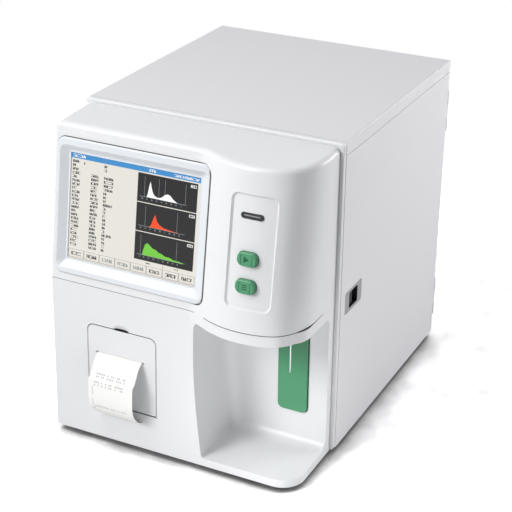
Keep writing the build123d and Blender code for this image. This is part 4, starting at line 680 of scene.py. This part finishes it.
class ScreenSheet:
    """Collects flat patches of the screen picture in window fractions, u to the right and v down."""

    def __init__(self, width, height, lean):
        low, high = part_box("touch_glass")
        self.centre = (Vector(low) + Vector(high)) / 2
        self.up = up_along(lean)
        self.out = out_of(lean)
        self.width = width
        self.height = height
        self.dice = random.Random(11)
        self.vertices = []
        self.faces = []
        self.inks = []

    def spot(self, u, v, layer):
        """Place of a point of the picture, on one of its layers."""
        across = RIGHT * (u - 0.5) * self.width
        lift = PICTURE_LIFT + layer * LAYER_LIFT
        return self.centre + across + self.up * (0.5 - v) * self.height + self.out * lift

    def shape(self, points, ink, layer):
        """Flat shape with one ink."""
        first = len(self.vertices)
        self.vertices += [self.spot(u, v, layer) for u, v in points]
        self.faces.append(tuple(range(first, first + len(points))))
        self.inks.append(ink)

    def patch(self, u0, v0, u1, v1, ink, layer):
        """Upright rectangle with one ink."""
        self.shape([(u0, v1), (u1, v1), (u1, v0), (u0, v0)], ink, layer)

    def word(self, u, v, letters, tall, pitch, ink, layer):
        """Row of small made-up marks that stand for a word."""
        for step in range(letters):
            left = u + step * pitch
            kind = self.dice.randrange(KINDS)
            for kinds, (x0, y0, x1, y1) in STROKES:
                if kind in kinds:
                    self.patch(left + x0 * pitch, v + y0 * tall, left + x1 * pitch, v + y1 * tall, ink, layer)

    def title_bar(self):
        """Blue bar with three words."""
        self.patch(0, TITLE_TOP, 1, TITLE_BOTTOM, "blue", 1)
        for u in TITLE_BREAKS:
            self.patch(u, TITLE_TOP, u + BREAK_WIDTH, TITLE_BOTTOM, "line", 2)
        for u, v, letters, tall, pitch in TITLE_WORDS:
            self.word(u, v, letters, tall, pitch, "white", 2)

    def results(self, rows):
        """List with a name, a value and a unit in most rows."""
        row_pitch = LIST_HEIGHT / rows
        tall = row_pitch * TALL_SHARE
        for row in range(rows):
            v = LIST_TOP + row * row_pitch
            shortest = 2 if row < HEAD_ROWS else 3
            self.word(NAME_LEFT, v, shortest + self.dice.randrange(3), tall, LIST_PITCH, "ink", 1)
            if row > HEAD_ROWS:
                self.word(VALUE_LEFT, v, 4 + self.dice.randrange(2), tall, LIST_PITCH, "ink", 1)
            if row != HEAD_ROWS:
                self.word(UNIT_LEFT, v, 6 if row in LONG_UNITS else 2, tall, LIST_PITCH, "ink", 1)
        self.word(COUNT_LEFT, COUNT_TOP, 1, COUNT_TALL, SMALL_PITCH, "ink", 1)

    def plot(self, top, ink, guides, curve):
        """Black plot with an axis, guide lines, a label and a filled curve. Returns its lower edge."""
        bottom = top + PLOT_HEIGHT
        base = bottom - AXIS_RISE
        self.patch(PLOT_LEFT, top, PLOT_RIGHT, bottom, "black", 1)
        self.patch(AXIS_LEFT, base, AXIS_RIGHT, base + AXIS_THICK, "line", 2)
        for mark in range(SCALE_MARKS):
            u = SCALE_LEFT + mark * SCALE_PITCH
            self.word(u, base + SCALE_DROP, 1, SCALE_TALL, SCALE_TALL, "line", 2)
        for guide in guides:
            u = AXIS_LEFT + guide * GUIDE_SPAN
            self.patch(u, top + GUIDE_DROP, u + GUIDE_WIDTH, base, "line", 2)
        label = top + LABEL_TOP
        self.patch(LABEL_LEFT, label, LABEL_RIGHT, top + LABEL_BOTTOM, "white", 2)
        self.word(LABEL_LEFT + LABEL_INSET, label + LABEL_INSET, 3, LABEL_TALL, LABEL_PITCH, "ink", 3)
        points = [(AXIS_LEFT + across * CURVE_WIDTH, base - rise * CURVE_HEIGHT) for across, rise in curve]
        for (u0, v0), (u1, v1) in zip(points, points[1:]):
            self.shape([(u0, base), (u1, base), (u1, v1), (u0, v0)], ink, 3)
        return bottom

    def plots(self):
        """Three plots below each other, and a line of small words."""
        top = PLOTS_TOP
        for ink, guides, curve in PLOTS:
            top = self.plot(top, ink, guides, curve) + PLOT_GAP
        right = NOTE_BREAK + BREAK_WIDTH
        self.patch(NOTE_BREAK, top + NOTE_BREAK_TOP, right, top + NOTE_BREAK_BOTTOM, "ink", 1)
        for u in NOTE_WORDS:
            self.word(u, top + NOTE_TOP, 3, NOTE_TALL, SMALL_PITCH, "ink", 1)

    def soft_keys(self):
        """Row of keys along the lower edge, each with a dark and a light edge."""
        for place in range(SOFT_KEYS):
            left = SOFT_LEFT + place * SOFT_PITCH
            right = left + SOFT_WIDTH
            top = SOFT_TOP + SOFT_EDGE
            inner, bottom = right - SOFT_EDGE, SOFT_BOTTOM - SOFT_LOWER_EDGE
            ink = "line" if place in SOFT_FADED else "ink"
            self.patch(left, SOFT_TOP, right, SOFT_BOTTOM, "ink", 1)
            self.patch(left + SOFT_EDGE, top, inner, bottom, "white", 2)
            self.patch(left + 2 * SOFT_EDGE, top + SOFT_LIGHT_EDGE, inner, bottom, "cream", 3)
            u, v = left + SOFT_WORD_LEFT, SOFT_TOP + SOFT_WORD_TOP
            self.word(u, v, 6, SOFT_WORD_TALL, SOFT_WORD_PITCH, ink, 4)


class ANALYZER_OT_screen(bpy.types.Operator):
    """Lay out the lit picture: title bar, list, three plots and a row of keys"""

    bl_idname = "analyzer.screen"
    bl_label = "Screen picture"

    def execute(self, context):
        size = context.scene.analyzer_screen
        sheet = ScreenSheet(size.width, size.height, size.lean)
        sheet.patch(0, 0, 1, 1, "cream", 0)
        sheet.title_bar()
        sheet.results(size.rows)
        sheet.plots()
        sheet.soft_keys()
        materials = [lit("ui_" + ink, tone, size.glow * strength) for ink, (tone, strength) in INKS.items()]
        order = list(INKS)
        inks = [order.index(ink) for ink in sheet.inks]
        picture = mesh_piece("screen_picture", sheet.vertices, sheet.faces, materials, inks)
        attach(picture, "base")
        return {"FINISHED"}


# Signs, in millimetres from the middle of the face they lie on

def bar(x0, y0, x1, y1):
    """Corners of an upright rectangle."""
    return (x0, y0), (x1, y0), (x1, y1), (x0, y1)


SIGN_LIFT = 0.03 * MM
SIGNS = {
    "upper_button": (((-3.2, -3.6), (-3.2, 3.6), (3.4, 0)),),
    "lower_button": tuple(bar(-3, middle - 0.6, 3, middle + 0.6) for middle in (-2.4, 2.4, 0)),
}
BRACKET = (bar(6.4, -5, 7.2, 5), bar(5.2, 4.3, 6.4, 5), bar(5.2, -5, 6.4, -4.3))
BRACKETS = tuple(tuple((side * x, y) for x, y in stroke) for side in (-1, 1) for stroke in BRACKET)
# grey bar that stands for a painted highlight in the glossy status window
STATUS_HIGHLIGHT = (bar(-9.5, -0.25, 9.5, 0.85),)


def flat_shapes(name, node, lean, shapes, material):
    """Thin shapes that lie on the leaning front of a CAD node."""
    low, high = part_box(node)
    up, out = up_along(lean), out_of(lean)
    mid_up, _ = span_of(node, up)
    mid_out, half_out = span_of(node, out)
    centre = RIGHT * (low[0] + high[0]) / 2 + up * mid_up + out * (mid_out + half_out + SIGN_LIFT)
    vertices, faces = [], []
    for shape in shapes:
        first = len(vertices)
        vertices += [centre + RIGHT * x * MM + up * y * MM for x, y in shape]
        faces.append(tuple(range(first, first + len(shape))))
    return mesh_piece(name, vertices, faces, [material])


class ANALYZER_OT_signs(bpy.types.Operator):
    """Set plain signs on the buttons and a grey bar of painted highlight in the status window"""

    bl_idname = "analyzer.signs"
    bl_label = "Button signs"

    def execute(self, context):
        lean = context.scene.analyzer_screen.lean
        ink = paint("sign_ink", (0.012, 0.10, 0.045), rough=0.5, scale=1500, amount=0.15)
        for button, shapes in SIGNS.items():
            sign = flat_shapes("sign_" + button, button, lean, shapes + BRACKETS, ink)
            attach(sign, button)
        # painted highlight: a grey bar on the black status window
        grey = paint("status_highlight", (0.30, 0.31, 0.32), rough=0.3, scale=900, amount=0.1, coat=0.5)
        light = flat_shapes("status_highlight_bar", "status_window", lean, STATUS_HIGHLIGHT, grey)
        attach(light, "base")
        return {"FINISHED"}


# Printed paper

CURL_CUTS = 14
CURL_STEP = 2.2 * MM
SWEEP_INSET = 4 * MM
SWEEP_DROP = 6 * MM
SWEEP_REACH = 0.09
PRINT_LIFT = 0.05 * MM
PRINT_ROWS = 17
PRINT_FIRST = 58.0  # degrees above level at the first row
PRINT_PITCH = 6.0  # degrees
PRINT_TALL = 2.7  # degrees
PRINT_LEFT = 5 * MM
MARK_WIDTH = 1.5 * MM
MARK_PITCH = 2.4 * MM
MARK_MISSING = 0.12
WORD_ROWS = 5
RULED_ROWS = (9, 14)
WORDS = ((3, 5), (18, 4), (31, 5))  # millimetres from the first mark, and letters
RULE = ((3, 18),)
TICK = ((0, 1),)


def drape(piece):
    """Bakes the piece's transform into its mesh."""
    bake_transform(piece)


def curl_mesh(slip, low_z):
    """Copy of the slip's mesh with cuts across its lower end."""
    form = bmesh.new()
    form.from_mesh(slip.data)
    for cut in range(CURL_CUTS):
        height = low_z + (cut + 1) * CURL_STEP
        everything = form.verts[:] + form.edges[:] + form.faces[:]
        bmesh.ops.bisect_plane(form, geom=everything, plane_co=(0, 0, height), plane_no=UP)
    mesh = bpy.data.meshes.new("paper_curl")
    form.to_mesh(mesh)
    form.free()
    mesh.materials.clear()
    mesh.materials.append(bpy.data.materials["paper"])
    return mesh


class PaperFace:
    """Outside of the slip, found by rays that come in towards a line inside its curl."""

    def __init__(self, slip, depsgraph, low, high):
        self.tree = BVHTree.FromObject(slip, depsgraph)
        self.sweep_y = high[1] - SWEEP_INSET
        self.sweep_z = (low[2] + high[2]) / 2 - SWEEP_DROP

    def spot(self, x, turn):
        """Point just outside the paper at x and turn, or None beside the paper."""
        away = out_of(turn)
        start = Vector((x, self.sweep_y, self.sweep_z)) + away * SWEEP_REACH
        hit = self.tree.ray_cast(start, -away)[0]
        return None if hit is None else hit + away * PRINT_LIFT


def words_in(row):
    """Where the words of a printed row start, in millimetres, and their letters."""
    if row < WORD_ROWS:
        return WORDS
    return RULE if row in RULED_ROWS else TICK


def printed_marks(paper, low):
    """Vertices and faces of the marks that lie on the paper and inside its box."""
    dice = random.Random(5)
    tall = math.radians(PRINT_TALL)
    vertices, faces = [], []
    for row in range(PRINT_ROWS):
        turn = math.radians(PRINT_FIRST - row * PRINT_PITCH)
        for start, letters in words_in(row):
            for letter in range(letters):
                left = low[0] + PRINT_LEFT + start * MM + letter * MARK_PITCH
                right = left + MARK_WIDTH
                ring = [
                    paper.spot(left, turn - tall), paper.spot(right, turn - tall),
                    paper.spot(right, turn), paper.spot(left, turn),
                ]
                if None in ring or min(spot.y for spot in ring) < low[1]:
                    continue
                if letters > 1 and dice.random() < MARK_MISSING:
                    continue
                first = len(vertices)
                vertices += ring
                faces.append((first, first + 1, first + 2, first + 3))
    return vertices, faces


class ANALYZER_OT_print(bpy.types.Operator):
    """Lay the paper that comes out of the printer, with faint rows of marks on it"""

    bl_idname = "analyzer.print"
    bl_label = "Printed paper"

    def execute(self, context):
        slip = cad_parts["paper_slip"]
        low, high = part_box("paper_slip")
        paper = PaperFace(slip, context.evaluated_depsgraph_get(), low, high)
        curl = new_object("paper_curl", curl_mesh(slip, low[2]))
        drape(curl)
        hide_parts("paper_slip")
        faint = paint("print_grey", (0.40, 0.40, 0.44), rough=0.8, scale=4000, amount=0.15)
        marks = mesh_piece("paper_print", *printed_marks(paper, low), [faint])
        drape(marks)
        return {"FINISHED"}


# Stage

FLOOR_REACH = 8.0
# reach, openness and darkness of the painted contact shade on the floor
CONTACT_REACH = 0.05
CONTACT_OPEN = (0.35, 0.82)  # openness at which the contact shade is full and gone
CONTACT_DARK = 0.12
FLOOR_FADE = (0.6, 1.3)  # metres from the middle over which the seen floor turns plain white
GLOOM_SIDE = Vector((0.80, -0.60, 0.0)).normalized()
GLOOM_END = 0.85
GLOOM_SHARE = 0.06
SENSOR_WIDTH = 36
WHITE = (1, 1, 1, 1)


def floor_shader(tree, level, shade=None):
    """Plain pale surface, darker where the shade is below one."""
    tone, _ = varied(tree, (level, level, level), 30, 0.01)
    plain = tree.nodes.new("ShaderNodeBsdfDiffuse")
    if shade:
        dim = tree.nodes.new("ShaderNodeVectorMath")
        dim.operation = "SCALE"
        tree.links.new(tone, dim.inputs[0])
        tree.links.new(shade, dim.inputs["Scale"])
        tone = dim.outputs["Vector"]
    tree.links.new(tone, plain.inputs["Color"])
    return plain.outputs["BSDF"]


def floor_paint(bounce, seen):
    """Floor that keeps its shadows in the picture, with painted contact shade near the object, and fades to
    white with distance.
    """
    material, tree, output = tree_of("floor_white")
    # painted contact shade: an occlusion node darkens the seen floor near the object
    near = tree.nodes.new("ShaderNodeAmbientOcclusion")
    near.samples = 8
    near.inputs["Distance"].default_value = CONTACT_REACH
    painted_contact_shade = ranged(tree, near.outputs["AO"], *CONTACT_OPEN, CONTACT_DARK)
    coordinates = tree.nodes.new("ShaderNodeTexCoord")
    distance = tree.nodes.new("ShaderNodeVectorMath")
    distance.operation = "LENGTH"
    tree.links.new(coordinates.outputs["Object"], distance.inputs[0])
    far = ranged(tree, distance.outputs["Value"], *FLOOR_FADE, kind="SMOOTHSTEP")
    white = tree.nodes.new("ShaderNodeEmission").outputs["Emission"]
    shown = blended(tree, far, floor_shader(tree, seen, painted_contact_shade), white)
    whole = blended(tree, seen_directly(tree), floor_shader(tree, bounce), shown)
    tree.links.new(whole, output.inputs["Surface"])
    return material


def studio_world(sky):
    """Even light from all round, dimmer from the front right, and white behind the object."""
    world = bpy.data.worlds.new("studio")
    world.use_nodes = True
    tree = world.node_tree
    tree.nodes.clear()
    output = tree.nodes.new("ShaderNodeOutputWorld")
    toward = along(tree, GLOOM_SIDE, "Generated")
    strength = ranged(tree, toward, 0.0, GLOOM_END, sky, sky * GLOOM_SHARE, "SMOOTHSTEP")
    light = tree.nodes.new("ShaderNodeBackground")
    light.inputs["Color"].default_value = WHITE
    tree.links.new(strength, light.inputs["Strength"])
    backdrop = tree.nodes.new("ShaderNodeBackground")
    backdrop.inputs["Color"].default_value = WHITE
    whole = blended(tree, seen_directly(tree), light.outputs["Background"], backdrop.outputs["Background"])
    tree.links.new(whole, output.inputs["Surface"])
    return world


def lamp(name, spot, target, size, power, spread=180):
    """Square lamp that looks at a target and isn't seen itself."""
    data = bpy.data.lights.new(name, "AREA")
    data.spread = math.radians(spread)
    data.size = size
    data.energy = power
    unit = new_object(name, data)
    unit.location = spot
    unit.rotation_euler = (Vector(target) - Vector(spot)).to_track_quat("-Z", "Y").to_euler()
    unit.visible_camera = False


class ANALYZER_OT_stage(bpy.types.Operator):
    """Set the floor, the lamps, the world and the camera"""

    bl_idname = "analyzer.stage"
    bl_label = "Stage"

    def execute(self, context):
        look = context.scene.analyzer_stage
        ring = [(x * FLOOR_REACH, y * FLOOR_REACH, 0) for x, y in bar(-1, -1, 1, 1)]
        floor = mesh_piece("floor", ring, [(0, 1, 2, 3)], [floor_paint(look.floor_bounce, look.floor_seen)])
        context.scene.world = studio_world(look.sky)
        lamp("key_lamp", (-1.3, -2.3, 1.8), (0, -0.1, 0.2), 1.0, look.key_light)
        lamp("fill_lamp", (2.0, 1.9, 0.8), (0.1, 0, 0.2), 1.4, look.fill_light)
        lamp("bay_card", (0.22, -0.38, 0.07), (0.07, -0.14, 0.09), 0.14, look.bay_light, 84)
        lamp("top_lamp", (-0.4, -0.9, 1.7), (0, -0.1, 0.4), 0.8, look.top_light)
        data = bpy.data.cameras.new("camera")
        data.lens = look.lens
        data.sensor_width = SENSOR_WIDTH
        data.clip_start = 0.05
        camera = new_object("camera", data)
        camera.location = look.camera_spot
        camera.rotation_euler = look.camera_turn
        context.scene.camera = camera
        context.scene.view_settings.view_transform = "Standard"
        return {"FINISHED"}


# Registration

OPERATORS = (
    ANALYZER_OT_covers, ANALYZER_OT_front, ANALYZER_OT_inside, ANALYZER_OT_screen,
    ANALYZER_OT_signs, ANALYZER_OT_print, ANALYZER_OT_stage,
)
GROUPS = (
    ("analyzer_paint", AnalyzerPaint), ("analyzer_screen", AnalyzerScreen), ("analyzer_stage", AnalyzerStage),
)


class ANALYZER_PT_panel(bpy.types.Panel):
    bl_label = "Analyzer"
    bl_idname = "ANALYZER_PT_panel"
    bl_space_type = "VIEW_3D"
    bl_region_type = "UI"
    bl_category = "Analyzer"

    def draw(self, context):
        for group_name, group in GROUPS:
            box = self.layout.box()
            for name in group.__annotations__:
                box.prop(getattr(context.scene, group_name), name)
        for operator in OPERATORS:
            self.layout.operator(operator.bl_idname)


def register():
    for name, group in GROUPS:
        bpy.utils.register_class(group)
        setattr(bpy.types.Scene, name, PointerProperty(type=group))
    for operator in OPERATORS:
        bpy.utils.register_class(operator)
    bpy.utils.register_class(ANALYZER_PT_panel)


def unregister():
    bpy.utils.unregister_class(ANALYZER_PT_panel)
    for operator in reversed(OPERATORS):
        bpy.utils.unregister_class(operator)
    for name, group in reversed(GROUPS):
        delattr(bpy.types.Scene, name)
        bpy.utils.unregister_class(group)


def main():
    register()
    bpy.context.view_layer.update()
    bpy.ops.analyzer.covers()
    bpy.ops.analyzer.front()
    bpy.ops.analyzer.inside()
    bpy.ops.analyzer.screen()
    bpy.ops.analyzer.signs()
    bpy.ops.analyzer.print()
    bpy.ops.analyzer.stage()


if __name__ == "__main__":
    main()
